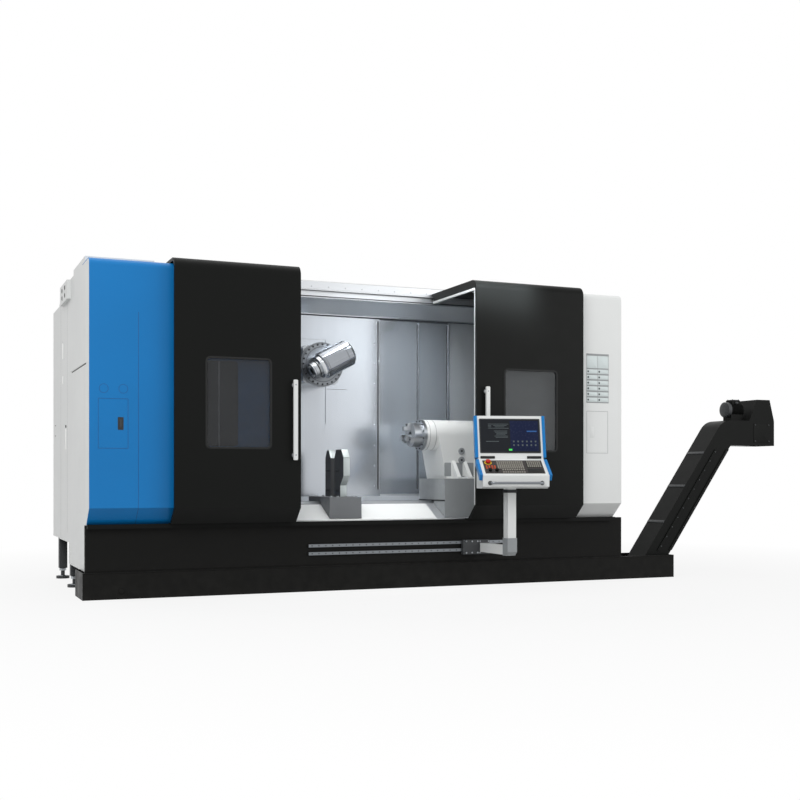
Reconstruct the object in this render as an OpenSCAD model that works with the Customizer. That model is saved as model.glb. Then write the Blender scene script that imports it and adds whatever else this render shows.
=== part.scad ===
// Turn-mill centre with sliding doors, travelling column, tailstock, pendant and chip conveyor.
// Lengths in millimetres. x runs from the left cover, y from the cover front to the rear, z from the floor.

/* [Enclosure] */
// Width over both front covers
cabin_w = 4740; // [4500:10:5000]
// Height of the front covers
cover_top = 2604; // [2450:1:2700]
// Radius of the covers' top front edge
cover_round = 50; // [30:1:80]
// Sheet thickness of the covers and panels
sheet = 6; // [4:0.5:10]
// Right end of the left cover, behind the left door
left_cover_end = 1500; // [1460:5:1580]
// Width of the right cover
right_cover_w = 1340; // [1240:5:1410]
// Height at which the covers' lower bevel starts
bevel_top = 707; // [660:1:760]
// Height of the covers' lower edge
bevel_low = 572; // [560:1:600]
// How far the lower bevel runs back
bevel_in = 150; // [120:1:180]
// Depth from the cover front to the rear wall
cabin_depth = 2480; // [2300:10:2700]
// Depth of the covers' own roof strip
cover_roof = 363; // [250:1:420]
// Depth of the deep part of the end panels
end_panel_depth = 1864; // [1700:2:2000]
// Inset of the rear part of the end panels
end_inset = 15; // [8:1:30]
// Lower edge of the front part of the end panels
end_low_front = 210; // [150:1:300]
// Lower edge of the rear part of the end panels
end_low_rear = 390; // [300:1:450]
// Depth at which the end panels' lower edge steps up
end_step = 1200; // [1000:5:1400]
// Drop of the low rear roof below the covers' top
rear_drop = 104; // [24:1:124]
// Depth at which the low rear roof starts
rear_start = 1560; // [1500:5:1700]

/* [Base] */
// Overhang of the chip tray at the left
tray_left = 31; // [10:1:60]
// Overhang of the chip tray at the right
tray_over = 675; // [610:5:760]
// Height of the chip tray
tray_h = 210; // [180:1:250]
// Front face of the chip tray
tray_front = 130; // [110:1:150]
// Rear face of the chip tray
tray_back = 550; // [500:1:560]
// Overhang of the skirt at the left
skirt_left = 10; // [0:1:30]
// Overhang of the skirt at the right
skirt_over = 100; // [20:5:160]
// Depth of the skirt's folded flanges
skirt_fold = 40; // [20:1:48]
// Height of the door track's running face
track_top = 578.7; // [574:0.1:582]
// Width of a levelling foot
foot_d = 120; // [80:1:160]
// Diameter of a levelling screw
foot_stem_d = 36; // [24:1:60]

/* [Doors] */
// Width of the left door
left_door_w = 1016; // [950:2:1060]
// Left edge of the opened left door
left_door_x = 623; // [600:1:660]
// Width of the right door
right_door_w = 1065; // [1000:1:1090]
// Distance of the opened right door from the right end
right_door_in = 466; // [415:1:485]
// Stand-out of the doors in front of the covers
door_out = 100; // [90:1:130]
// Thickness of the doors
door_t = 26; // [18:1:26]
// Height of the doors' roof above the covers
door_rise = 34; // [34:1:56]
// Radius of the doors' top front edge
door_round = 80; // [50:1:100]
// Depth of the doors' roof behind the cover front
door_roof = 815; // [812:1:820]
// Height at which the doors' bevel starts
door_bevel_top = 700; // [680:1:740]
// Run of the doors' bevel
door_bevel_in = 130; // [100:1:140]
// Window width
window_w = 508; // [400:1:600]
// Window height
window_h = 693; // [500:1:800]
// Window corner radius
window_r = 28; // [10:1:60]
// Height of the windows' middle
window_z = 1522; // [1400:1:1600]
// Window glass thickness
glass_t = 8; // [4:0.5:12]
// Length of the bar handles
handle_l = 639; // [400:1:800]
// Width of the bar handles
handle_w = 34; // [24:1:50]
// Depth of the bar handles
handle_d = 20; // [12:1:30]
// Clear finger gap behind the bar handles
handle_gap = 30; // [25:1:45]
// Distance of the left handle from its door's leading edge
handle_edge = 58; // [40:1:110]
// Distance of the right handle from its door's leading edge
right_handle_edge = 89; // [50:1:110]
// Height of the handles' middle
handle_z = 1398; // [1200:1:1500]

/* [Spindle line] */
// Distance of the spindle axis behind the cover front
axis_y = 440; // [430:1:460]
// Height of the spindle axis
axis_z = 1317; // [1300:1:1360]
// Main chuck diameter
chuck_d = 400; // [300:1:500]
// Main chuck thickness
chuck_t = 170; // [120:1:220]
// Main spindle diameter
spindle_d = 260; // [200:1:300]
// Bore through the main spindle
spindle_bore = 105; // [80:1:112]
// Bore through the main chuck
chuck_bore = 120; // [114:1:130]
// Tail chuck diameter
tail_chuck_d = 216; // [180:1:240]
// Tail chuck flange diameter
tail_flange_d = 274; // [250:1:276]
// Tailstock quill housing diameter
quill_d = 270; // [240:1:290]
// Share of the working length from the left wall to the tail chuck's jaws at rest
tail_share = 0.55; // [0.545:0.001:0.556]
// Length of the tailstock body
tail_l = 620; // [500:5:680]

/* [Milling head] */
// Share of the working length from the left wall to the head's centre
head_share = 0.335; // [0.332:0.001:0.338]
// Head centre below the covers' top
head_drop = 676; // [664:1:694]
// Front face of the swivel disc
disc_y = 620; // [600:1:640]
// Swivel disc diameter
disc_d = 390; // [340:1:420]
// Tool spindle housing diameter
tool_d = 232; // [180:1:250]
// Tool spindle axis in front of the swivel disc
tool_out = 160; // [140:1:180]
// Tilt of the tool spindle
tool_tilt = 28; // [0:1:60]
// Ram width and height
ram_w = 330; // [300:1:340]
// Ram length
ram_l = 1030; // [900:5:1100]

/* [Steady rest] */
// Share of the working length from the left wall to the steady base
steady_share = 0.3056; // [0.3:0.0001:0.312]
// Width of the steady base
steady_w = 284; // [240:1:290]
// Thickness of the steady arms
steady_t = 58; // [40:1:80]
// Top of the steady arms
steady_top = 1177; // [1100:1:1185]

/* [Pendant] */
// Distance of the pendant arm from the right end
arm_in = 1356; // [1340:1:1440]
// Distance of the post in front of the cover front
post_out = 371; // [360:1:420]
// Width of the square arm and post tubes
tube_w = 77; // [60:1:90]
// Height of the arm
arm_z = 330; // [320:1:345]
// Height of the panel's underside
panel_low = 850; // [800:1:900]
// Panel width
panel_w = 600; // [560:1:640]
// Swivel of the panel at rest
panel_turn = 17; // [0:1:17]
// Screen width
screen_w = 499; // [450:1:520]
// Screen height
screen_h = 280; // [240:1:300]

/* [Chip conveyor] */
// Slope of the conveyor's incline
conveyor_angle = 55; // [50:1:60]
// Thickness of the incline
conveyor_t = 218; // [180:1:230]
// Conveyor front side
conveyor_front = 200; // [195:1:240]
// Conveyor width
conveyor_w = 270; // [220:1:300]
// Reach of the discharge head beyond the chip tray
conveyor_out = 1260; // [1185:5:1385]
// Underside of the discharge head
conveyor_head_low = 1255; // [1150:1:1300]
// Top of the discharge head
conveyor_head_top = 1500; // [1450:1:1550]

/* [Hidden] */
// Running gap between bodies, and the gap round a loose pane
run_gap = 0.3;
eps = 0.01;
// Facets of a rounded sheet edge
edge_steps = 10;

// Places that follow the cabin's outer sizes
right_cover_start = cabin_w - right_cover_w;
right_door_x = cabin_w - right_door_in - right_door_w;
rear_top = cover_top - rear_drop;
door_top = cover_top + door_rise;
skirt_top = bevel_low;
skirt_back = bevel_in + skirt_fold;
skirt_right = cabin_w + skirt_over;
tray_right = cabin_w + tray_over;
conveyor_right = tray_right + conveyor_out;

// Working room between the inner end walls
inner_left = 1000;
inner_right_in = 540;
inner_right = cabin_w - inner_right_in;
inner_back = 1100;
work_l = inner_right - inner_left;
head_x = inner_left + head_share * work_l;
head_z = cover_top - head_drop;
tail_x = inner_left + tail_share * work_l;
steady_x = inner_left + steady_share * work_l;

// Sloping floor in front of the bed
floor_step = 10;
floor_front = bevel_in + floor_step;
floor_low = bevel_low + 14;
floor_rise = 0.5;
floor_right_w = 1240;
floor_split = inner_right - floor_right_w;
function floor_z(y) = floor_low + (y - floor_front) * floor_rise;

// Bed casting, its ways and the column's rails
bed_front = 410;
bed_left = 340;
bed_over = 100;
bed_right = inner_right + bed_over;
bed_top = 715;
bed_rear_in = 380;
bed_rear = cabin_depth - bed_rear_in;
bed_low = 60;
bed_toe_in = 20;
bed_toe_z = 480;
bed_brow_z = 620;
channel_front = 720;
channel_back = 1180;
channel_z = 640;
way_y = [430, 620];
way_w = 90;
way_h = 20;
way_top = bed_top + way_h;
rail_low = 880;
rail_h = 40;
rail_top = rail_low + rail_h;
rail_w = 80;
rail_y = [1250, bed_rear - 300];
rail_left = inner_left + 340;

// Sill and header of the back wall
sill_z = 769;
sill_front_z = 694;
header_front = 825;
header_low = cover_top - 64;
header_back = 1046;
header_back_low = cover_top - 179;
lid_top = cover_top + 86;

// Layers of the telescopic back wall, from the cabin towards the rear
wall_t = 4;
wall_pitch = 8;
shield_y = 1050;
slot_y = shield_y + wall_pitch;
plate_1_y = slot_y + wall_pitch;
plate_2_y = plate_1_y + wall_pitch;
fixed_y = plate_2_y + wall_pitch;
guide_h = 18;
guide_low = sill_z + guide_h;
guide_high = cover_top - 186;
guide_side = 2;
shield_left_w = 622;
shield_right_w = 715;
shield_left = head_x - shield_left_w;
shield_right = head_x + shield_right_w;
left_room = shield_left - inner_left;
right_room = inner_right - shield_right;
plate_lip = 12;
left_plate_w = 500;
right_1_w = 560;
right_2_w = 480;
left_1_x = inner_left + 0.6 * left_room;
left_2_x = inner_left + 0.2 * left_room;
right_1_end = shield_right + 0.289 * right_room;
right_2_end = shield_right + 0.511 * right_room;
slot_half = ram_w / 2 + 15;
slot_down = 500;
slot_rise = 270;

// Column, head slide and ram
column_front = 1130;
column_d = 520;
column_rear = column_front + column_d;
post_in = 212;
post_wide = 158;
column_top = cover_top - 164;
yoke_h = 100;
saddle_front = 1200;
saddle_d = 750;
saddle_rear = saddle_front + saddle_d;
saddle_h = 80;
slide_h = 250;
disc_t = 48;
ram_y = disc_y + disc_t;

// Tool spindle, measured along its own axis from the swivel axis
tool_y = disc_y - tool_out;
tool_front = 71;
tool_rear = 224;
tool_step = 30;
tool_nose = 70;
nose_d = 140;
shank_d = 100;
shank_l = 140;

// Main chuck
chuck_x = inner_left + 30;
chuck_face = chuck_x + chuck_t;
spindle_over = 40;

// Chip conveyor's incline: its lower and upper edge at a height
conveyor_foot_in = 149;
conveyor_foot = tray_right - conveyor_foot_in;
function incline_low(z) = conveyor_foot + (z - sheet) / tan(conveyor_angle);
function incline_high(z) = incline_low(z) - conveyor_t / sin(conveyor_angle);

// Doors
door_low = track_top + run_gap;
door_flange = 126;
door_fascia = 46;
door_fascia_w = 40;
door_fascia_back = door_roof - 25;
glass_gap = run_gap;

// Hatches in the covers
hatch_w = 217;
hatch_h = 372;
hatch_t = 4;
hatch_gap = 0.5;
left_hatch_x = 70;
right_hatch_in = 366;
right_hatch_x = cabin_w - right_hatch_in;
hatch_z = 1350;
latch_in = 53;

// Tailstock and steady rest
tail_jaw_l = 67;
tail_body_t = 79;
tail_flange_t = 30;
quill_shaft_d = 120;
quill_shaft_l = 260;
tail_body_x = tail_x + tail_jaw_l + tail_body_t + tail_flange_t;
plinth_back_x = 278;
plinth_x = tail_x + plinth_back_x;
plinth_front = 170;
plinth_back = 717;
plinth_top = 931;
floor_gap = 3;
steady_base_top = 776;
steady_front = 200;
steady_gap = [423, 520];
steady_back = 655;

// Pendant rails, carriage and the panel in its own frame with the post on the z axis
arm_x = cabin_w - arm_in;
bar_z = [376, 311];
bar_h = 25;
bar_out = 20;
bar_x0 = 1781;
bar_right_in = 1140;
bar_x1 = cabin_w - bar_right_in;
arm_flange = 7;
carriage_x = [arm_x - 200, arm_x + 56];
carriage_front = 105;
trim_w = 25;
trim_proud = 5;
tilt = 13;
slab_t = 50;
slab_l = 372;
face_foot = [-50, panel_low + 245];
lip_edge = [-270, panel_low + 105];
up = [sin(tilt), cos(tilt)];
back = [cos(tilt), -sin(tilt)];
slope_l = norm(lip_edge - face_foot);
down = (lip_edge - face_foot) / slope_l;
into = [-down[1], down[0]];
slope_angle = atan2(face_foot[1] - lip_edge[1], face_foot[0] - lip_edge[0]);
plate_t = 3;
keypad_w = 496;
keypad_d = 200;
keypad_mid = 128;
knob_place = [[-205, 190], [-150, 190]];
estop_place = [-205, 66];
stem_d = 18;
shaft_d = 10;
grip_r = 11;
grip_bend = 30;
grip_half = 215;
grip_out = 318;
grip_z = panel_low + 45;
panel_reach = (grip_half - grip_bend) * sin(panel_turn)
    + (grip_out - grip_bend) * cos(panel_turn) + grip_bend + grip_r;

// Row frame: the box of the whole machine is centred over the origin
mid_x = (conveyor_right - tray_left) / 2;
mid_y = (cabin_depth - post_out - panel_reach) / 2;

// Colours
blue = "#1673c4";
white = "#e9ebec";
black = "#141516";
graphite = "#3a3d40";
stainless = "#b9bec4";
steel = "#9aa0a6";
cast = "#7e8489";
glass = "#20262c";
red = "#c8321e";

// Moves machine coordinates into the row frame
module in_row() {
    translate([-mid_x, -mid_y, 0]) children();
}

// Mirrors a left end piece to the right end of the cabin
module at_right_end() {
    translate([cabin_w, 0, 0]) mirror([1, 0, 0]) children();
}

// A block between two opposite corners
module block(a, b) {
    translate(a) cube(b - a);
}

// Extrudes a y-z section along x
module along_x(x0, w) {
    translate([x0, 0, 0]) rotate([90, 0, 90]) linear_extrude(w) children();
}

// Extrudes an x-z outline along y
module along_y(y0, d) {
    translate([0, y0 + d, 0]) rotate([90, 0, 0]) linear_extrude(d) children();
}

// A round bar along x on the spindle line
module bar_x(x0, x1, d) {
    translate([x0, axis_y, axis_z]) rotate([0, 90, 0]) cylinder(h = x1 - x0, d = d, $fn = 96);
}

// A rectangle with round corners, centred
module round_rect(w, h, r) {
    square([w - 2 * r, h], center = true);
    square([w, h - 2 * r], center = true);
    for (sx = [-1, 1], sy = [-1, 1])
        translate([sx * (w / 2 - r), sy * (h / 2 - r)]) circle(r, $fn = 32);
}

// Section of a front shell, inset by t: upright front, round top edge, bevelled foot
module shell_region(front, top, r, foot_top, foot_low, foot_in, t, back_y) {
    turn = atan2(foot_in, foot_top - foot_low);
    foot_y = front + foot_in + t / cos(turn);
    edge = [for (a = [180 : -90 / edge_steps : 90])
        [front + r + (r - t) * cos(a), top - r + (r - t) * sin(a)]];
    polygon(concat(
        [[foot_y, foot_low], [front + t, foot_top + t * tan(turn / 2)]],
        edge,
        [[back_y, top - t], [back_y, foot_low]]
    ));
}

// Section of the cabin behind the cover sheets, inset by t
module cover_region(t, back_y) {
    shell_region(0, cover_top, cover_round, bevel_top, bevel_low, bevel_in, t, back_y);
}

// Section of a door, inset by t
module door_region(t, back_y) {
    shell_region(-door_out, door_top, door_round, door_bevel_top, door_low, door_bevel_in, t, back_y);
}

// Section of the bed casting
module bed_section() {
    polygon([
        [tray_back + bed_toe_in, bed_low], [tray_back + bed_toe_in, bed_toe_z],
        [bed_front, bed_brow_z], [bed_front, bed_top], [channel_front, bed_top],
        [channel_front, channel_z], [channel_back, channel_z], [channel_back, rail_low],
        [bed_rear, rail_low], [bed_rear, bed_low]
    ]);
}

module bed() {
    pocket_in = 220;
    pocket_w = 320;
    pocket_pitch = 480;
    pocket_front = 780;
    pocket_back = bed_rear - 200;
    color(cast) in_row() difference() {
        along_x(bed_left, bed_right - bed_left) bed_section();
        for (x = [bed_left + pocket_in : pocket_pitch : bed_right - pocket_w - 80])
            block([x, pocket_front, bed_low - eps], [x + pocket_w, pocket_back, bed_toe_z]);
    }
}

module guide_ways() {
    way_in = 10;
    color(steel) in_row() {
        for (y = way_y)
            block([inner_left + way_in, y, bed_top], [inner_right - way_in, y + way_w, way_top]);
        for (y = rail_y)
            block([rail_left, y, rail_low], [bed_right, y + rail_w, rail_top]);
    }
}

// One levelling foot: plate, screw and the bracket or pad above it
module foot(x, y, top) {
    disc_h = 24;
    translate([x, y, 0]) cylinder(h = disc_h, d = foot_d, $fn = 48);
    translate([x, y, disc_h - eps]) cylinder(h = top - disc_h + eps, d = foot_stem_d, $fn = 32);
}

module levelling_feet() {
    bracket_t = 12;
    bracket_w = 110;
    bed_foot_in = 120;
    bed_foot_x = [bed_left + bed_foot_in, (bed_left + bed_right) / 2, bed_right - bed_foot_in];
    bed_foot_front = 680;
    bed_foot_y = [bed_foot_front, bed_rear - bed_foot_in];
    end_foot_front = 107;
    end_foot_rear = 224;
    end_feet = [[sheet, end_step + end_foot_front], [end_inset + sheet, cabin_depth - end_foot_rear]];
    color(graphite) in_row() {
        for (side = [0, 1], f = end_feet) {
            x_mid = f[0] + bracket_w / 2;
            x = side == 0 ? x_mid : cabin_w - x_mid;
            foot(x, f[1], end_low_rear);
            translate([x - bracket_w / 2, f[1] - bracket_w / 2, end_low_rear])
                cube([bracket_w, bracket_w, bracket_t]);
        }
        for (x = bed_foot_x, y = bed_foot_y) foot(x, y, bed_low);
    }
}

module chip_tray() {
    rim = bevel_in + sheet - tray_front;
    color(black) in_row() {
        difference() {
            block([-tray_left, tray_front, 0], [tray_right, tray_back, tray_h]);
            block([sheet - tray_left, tray_front + sheet, sheet],
                [tray_right - sheet, tray_back - sheet, tray_h + eps]);
        }
        block([sheet - tray_left - eps, tray_front + sheet - eps, tray_h - sheet],
            [skirt_right, tray_front + rim, tray_h]);
    }
}

module base_skirt() {
    color(black) in_row() difference() {
        block([-skirt_left, bevel_in, tray_h], [skirt_right, skirt_back, skirt_top]);
        block([sheet - skirt_left, bevel_in + sheet, tray_h + sheet],
            [skirt_right - sheet, skirt_back + eps, skirt_top - sheet]);
    }
}

// A front cover sheet between two positions along x
module cover_sheet(x0, x1) {
    along_x(x0, x1 - x0) difference() {
        cover_region(0, cover_roof);
        cover_region(sheet, cover_roof + eps);
    }
}

// The hole that a hatch closes
module hatch_hole(x) {
    block([x - hatch_gap, -eps, hatch_z - hatch_h / 2 - hatch_gap],
        [x + hatch_w + hatch_gap, sheet + eps, hatch_z + hatch_h / 2 + hatch_gap]);
}

module left_cover() {
    view_w = 320;
    view_h = 670;
    view_x = left_door_x + 367;
    color(blue) in_row() difference() {
        cover_sheet(0, left_cover_end);
        hatch_hole(left_hatch_x);
        translate([view_x, 0, window_z]) along_y(-eps, sheet + 2 * eps)
            round_rect(view_w, view_h, window_r);
    }
}

module right_cover() {
    color(white) in_row() difference() {
        cover_sheet(right_cover_start, cabin_w);
        hatch_hole(right_hatch_x);
    }
}

// Left end panel: deep front sheet, set-back rear sheet and the return between them
module end_panel() {
    lap = 1;
    along_x(0, sheet) {
        intersection() {
            cover_region(sheet + run_gap, end_panel_depth);
            translate([0, bevel_low]) square([cover_roof, cover_top]);
        }
        translate([cover_roof - eps, end_low_rear])
            square([rear_start - cover_roof, cover_top - end_low_rear]);
        translate([rear_start - 2 * eps, end_low_rear])
            square([end_panel_depth - rear_start, rear_top - end_low_rear]);
        translate([skirt_back, end_low_front])
            square([end_step - skirt_back, bevel_low - end_low_front + lap]);
    }
    block([0, end_panel_depth - sheet, end_low_rear], [end_inset + sheet, end_panel_depth, rear_top]);
    block([end_inset, end_panel_depth - sheet, end_low_rear],
        [end_inset + sheet, cabin_depth - sheet, rear_top]);
}

// The long shallow slot in the front sheet of an end panel
module end_panel_slot() {
    slot_h = 14;
    slot_depth = 3;
    slot_y0 = 161;
    slot_l = 856;
    slot_z = cover_top - 796;
    translate([-eps, slot_y0, slot_z]) cube([slot_depth, slot_l, slot_h]);
}

module left_end_panel() {
    color(white) in_row() difference() {
        end_panel();
        end_panel_slot();
    }
}

module right_end_panel() {
    color(white) in_row() at_right_end() difference() {
        end_panel();
        end_panel_slot();
    }
}

// Rear wall and low rear roof, with the seams and air slots of the electrical cabinet
module rear_housing() {
    x0 = end_inset + sheet;
    w = cabin_w - 2 * x0;
    doors = 4;
    door_pitch = w / doors;
    seam = 6;
    seam_depth = 3;
    seam_in = 80;
    vents = 8;
    vent_w = 260;
    vent_h = 14;
    vent_pitch = 40;
    vent_low = 620;
    color(white) in_row() difference() {
        union() {
            block([x0, cabin_depth - sheet, end_low_rear], [x0 + w, cabin_depth, rear_top]);
            block([x0, rear_start, rear_top - sheet], [x0 + w, cabin_depth, rear_top]);
            block([x0, rear_start, rear_top - sheet],
                [x0 + w, rear_start + sheet, cover_top - sheet - run_gap]);
        }
        for (i = [1 : doors - 1])
            block([x0 + i * door_pitch - seam / 2, cabin_depth - seam_depth, end_low_rear + seam_in],
                [x0 + i * door_pitch + seam / 2, cabin_depth + eps, rear_top - seam_in]);
        for (i = [0 : doors - 1], k = [0 : vents - 1])
            translate([x0 + (i + 0.5) * door_pitch - vent_w / 2, cabin_depth - sheet - eps,
                vent_low + k * vent_pitch]) cube([vent_w, sheet + 2 * eps, vent_h]);
    }
}

// Flat roof at both ends and the raised lid behind the header
module roof_panel() {
    color(white) in_row() {
        block([sheet, cover_roof, cover_top - sheet], [inner_left, rear_start, cover_top]);
        block([inner_right, cover_roof, cover_top - sheet], [cabin_w - sheet, rear_start, cover_top]);
        difference() {
            block([inner_left - sheet, header_front, cover_top], [inner_right + sheet, rear_start, lid_top]);
            block([inner_left, header_front - eps, cover_top - eps],
                [inner_right, rear_start - sheet, lid_top - sheet]);
        }
        block([inner_left, rear_start - sheet, rear_top - sheet], [inner_right, rear_start, cover_top + eps]);
    }
}

// Box on the left roof, and the cable box on the left end panel with its four entries
module roof_boxes() {
    box_left = 20;
    box_right = 560;
    box_back = 1050;
    box_h = 70;
    cable_out = 30;
    cable_y = 1083;
    cable_l = 483;
    cable_low = cover_top - 164;
    cable_top = cover_top - 4;
    entry_d = 44;
    color(white) in_row() {
        block([box_left, cover_roof, cover_top], [box_right, box_back, cover_top + box_h]);
        difference() {
            block([-cable_out, cable_y, cable_low], [0, cable_y + cable_l, cable_top]);
            for (y = [0.3, 0.7], z = [0.3, 0.7])
                translate([-cable_out - eps, cable_y + y * cable_l, cable_low + z * (cable_top - cable_low)])
                    rotate([0, 90, 0]) cylinder(h = cable_out / 2, d = entry_d, $fn = 32);
        }
    }
}

// Section of the sloping floor with its front lip
module floor_section() {
    polygon([
        [floor_front, skirt_top], [floor_front, floor_z(floor_front)], [bed_front, floor_z(bed_front)],
        [bed_front, floor_z(bed_front) - sheet], [floor_front + sheet, floor_z(floor_front) - sheet / 2],
        [floor_front + sheet, skirt_top]
    ]);
}

module chip_floor() {
    color(white) in_row() along_x(inner_left, floor_split - inner_left) floor_section();
}

// End walls of the cabin, the left one open round the main spindle, and the floor at the right
module inner_walls() {
    hole_gap = 20;
    spindle_hole = spindle_d + 2 * hole_gap;
    color(stainless) in_row() {
        difference() {
            along_x(inner_left - sheet, sheet) wall_section();
            bar_x(inner_left - sheet - eps, inner_left + eps, spindle_hole);
        }
        along_x(inner_right, sheet) wall_section();
        along_x(floor_split, inner_right - floor_split) floor_section();
    }
}

// Outline of a cabin end wall, standing on the bed
module wall_section() {
    difference() {
        cover_region(sheet + run_gap, inner_back);
        bed_section();
    }
}

// Fixed sheets at both ends of the back wall, their guides and the sill below
module wall_guides() {
    fixed_left_w = 470;
    fixed_right_w = 830;
    fixed_left_end = inner_left + fixed_left_w;
    fixed_right_start = inner_right - fixed_right_w;
    guide_y = plate_1_y - guide_side;
    guide_back = fixed_y + wall_t + guide_side;
    sill_bend = header_back - sheet;
    color(stainless) in_row() {
        along_x(inner_left, inner_right - inner_left) polygon([
            [channel_front, sill_front_z], [channel_front, sill_front_z + sheet], [sill_bend, sill_z],
            [inner_back, sill_z], [inner_back, sill_z - sheet], [sill_bend, sill_z - sheet]
        ]);
        for (z = [sill_z, guide_high])
            block([inner_left, guide_y, z], [inner_right, guide_back, z + guide_h]);
        block([inner_left, fixed_y, guide_low - eps],
            [fixed_left_end, fixed_y + wall_t, guide_high + eps]);
        block([fixed_right_start, fixed_y, guide_low - eps],
            [inner_right, fixed_y + wall_t, guide_high + eps]);
    }
}

// Header with upright fascia and a soffit that slopes down to the back wall
module header_beam() {
    top = lid_top - sheet;
    color(stainless) in_row() along_x(inner_left, inner_right - inner_left) difference() {
        polygon([
            [header_front, top], [header_front, header_low], [header_back, header_back_low],
            [header_back, top]
        ]);
        polygon([
            [header_front + sheet, top - sheet], [header_front + sheet, header_low + sheet / 2],
            [header_back - sheet, header_back_low + 2 * sheet], [header_back - sheet, top - sheet]
        ]);
    }
}

module headstock() {
    x0 = bed_left + spindle_over;
    x1 = inner_left - sheet - run_gap;
    body_r = 260;
    body_h = 420;
    pillar_w = 300;
    color(cast) in_row() difference() {
        along_x(x0, x1 - x0) {
            translate([axis_y, axis_z]) circle(body_r, $fn = 96);
            translate([axis_y - body_r, axis_z - body_h]) square([2 * body_r, body_h]);
            translate([bed_front, bed_top]) square([pillar_w, axis_z - bed_top]);
        }
        bar_x(x0 - eps, x1 + eps, spindle_d + 2 * run_gap);
    }
}

// Lower door track on the skirt and upper track on the header
module door_tracks() {
    track_front = bevel_in - 50;
    track_back = bevel_in - 10;
    web_h = 34;
    upper_front = header_front - 30;
    upper_over = 10;
    color(black) in_row() {
        along_x(0, cabin_w) polygon([
            [track_front, track_top - web_h], [bevel_in, track_top - web_h],
            [bevel_in, skirt_top - sheet], [track_back, skirt_top - sheet],
            [track_back, track_top], [track_front, track_top]
        ]);
        block([left_door_x - upper_over, upper_front, cover_top],
            [right_door_x + right_door_w + upper_over, header_front, door_top - door_t - run_gap]);
    }
}

module pendant_rails() {
    color(steel) in_row() for (z = bar_z)
        block([bar_x0, bevel_in - bar_out, z - bar_h / 2], [bar_x1, bevel_in, z + bar_h / 2]);
}

// Side outline of the conveyor casing, from the trough in the tray to the discharge head
module conveyor_outline() {
    trough_left = 700;
    trough_h = 174;
    bend_r = 180;
    top = conveyor_head_top;
    bend_x = incline_high(top) + bend_r * tan(conveyor_angle / 2);
    bend = [for (a = [90 : conveyor_angle / edge_steps : 90 + conveyor_angle])
        [bend_x + bend_r * cos(a), top - bend_r + bend_r * sin(a)]];
    polygon(concat(
        [[trough_left, sheet], [conveyor_foot, sheet],
            [incline_low(conveyor_head_low), conveyor_head_low],
            [conveyor_right, conveyor_head_low], [conveyor_right, top]],
        bend,
        [[incline_high(trough_h), trough_h], [trough_left, trough_h]]
    ));
}

module conveyor_housing() {
    mouth_x = conveyor_right - 275;
    mouth_wall = 12;
    mouth_back = conveyor_front + conveyor_w - mouth_wall;
    hood_x = conveyor_right - 305;
    hood_h = 210;
    hood_slope = [90, 55];
    strip_w = 26;
    strip_out = 10;
    strip_in = 40;
    strip_z = [tray_h + strip_in, conveyor_head_low - strip_in];
    strip_y = [conveyor_front - strip_out, conveyor_front + conveyor_w - eps];
    color(black) in_row() {
        difference() {
            along_y(conveyor_front, conveyor_w) conveyor_outline();
            block([mouth_x, conveyor_front + mouth_wall, conveyor_head_low - eps],
                [conveyor_right - mouth_wall, mouth_back, conveyor_head_top - mouth_wall]);
        }
        along_y(conveyor_front, conveyor_w) polygon([
            [hood_x, conveyor_head_top - eps], [conveyor_right, conveyor_head_top - eps],
            [conveyor_right - hood_slope[1], conveyor_head_top + hood_h],
            [hood_x + hood_slope[0], conveyor_head_top + hood_h]
        ]);
        for (y = strip_y, off = [0, conveyor_t / 2])
            along_y(y, strip_out + eps) polygon([for (p = [
                [off, strip_z[0]], [off + strip_w, strip_z[0]],
                [off + strip_w, strip_z[1]], [off, strip_z[1]]
            ]) [incline_low(p[1]) - p[0] / sin(conveyor_angle), p[1]]]);
    }
}

// Gear motor on top of the discharge head
module conveyor_motor() {
    motor_x = conveyor_right - 505;
    motor_l = 190;
    motor_d = 140;
    motor_up = 110;
    motor_z = conveyor_head_top + motor_up;
    foot_w = 120;
    foot_l = 150;
    foot_h = 80;
    foot_in = 36;
    box_w = 96;
    box_in = 60;
    box_low = 40;
    box_h = 54;
    mid = conveyor_front + conveyor_w / 2;
    color(black) in_row() {
        translate([motor_x, mid, motor_z]) rotate([0, 90, 0]) cylinder(h = motor_l, d = motor_d, $fn = 48);
        translate([motor_x + foot_in, mid - foot_w / 2, conveyor_head_top]) cube([foot_l, foot_w, foot_h]);
        translate([motor_x + box_in, mid - box_w / 2, motor_z + box_low]) cube([box_w, box_w, box_h]);
    }
}

module main_spindle() {
    color(steel) in_row() difference() {
        bar_x(bed_left - spindle_over, chuck_x, spindle_d);
        bar_x(bed_left - spindle_over - eps, chuck_x + eps, spindle_bore);
    }
}

module chuck_body() {
    slot_w = 34;
    slot_depth = 14;
    slot_r = 70;
    color(steel) in_row() difference() {
        bar_x(chuck_x, chuck_face, chuck_d);
        bar_x(chuck_x - eps, chuck_face + eps, chuck_bore);
        translate([chuck_face - slot_depth, axis_y, axis_z]) for (a = [0 : 120 : 240])
            rotate([a, 0, 0]) translate([0, -slot_w / 2, slot_r]) cube([slot_depth + eps, slot_w, chuck_d]);
    }
}

// Three stepped jaws set round an axis along x
module jaw_set(face, radius, depth, width, dir) {
    inner = radius * 0.35;
    foot_share = 0.6;
    step_share = 0.32;
    translate([face, axis_y, axis_z]) for (a = [0 : 120 : 240]) rotate([a, 0, 0]) {
        translate([dir > 0 ? 0 : -depth / 2, -width / 2, inner])
            cube([depth / 2, width, radius * foot_share]);
        translate([dir > 0 ? depth / 2 - eps : -depth, -width / 2, inner])
            cube([depth / 2 + eps, width, radius * step_share]);
    }
}

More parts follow.
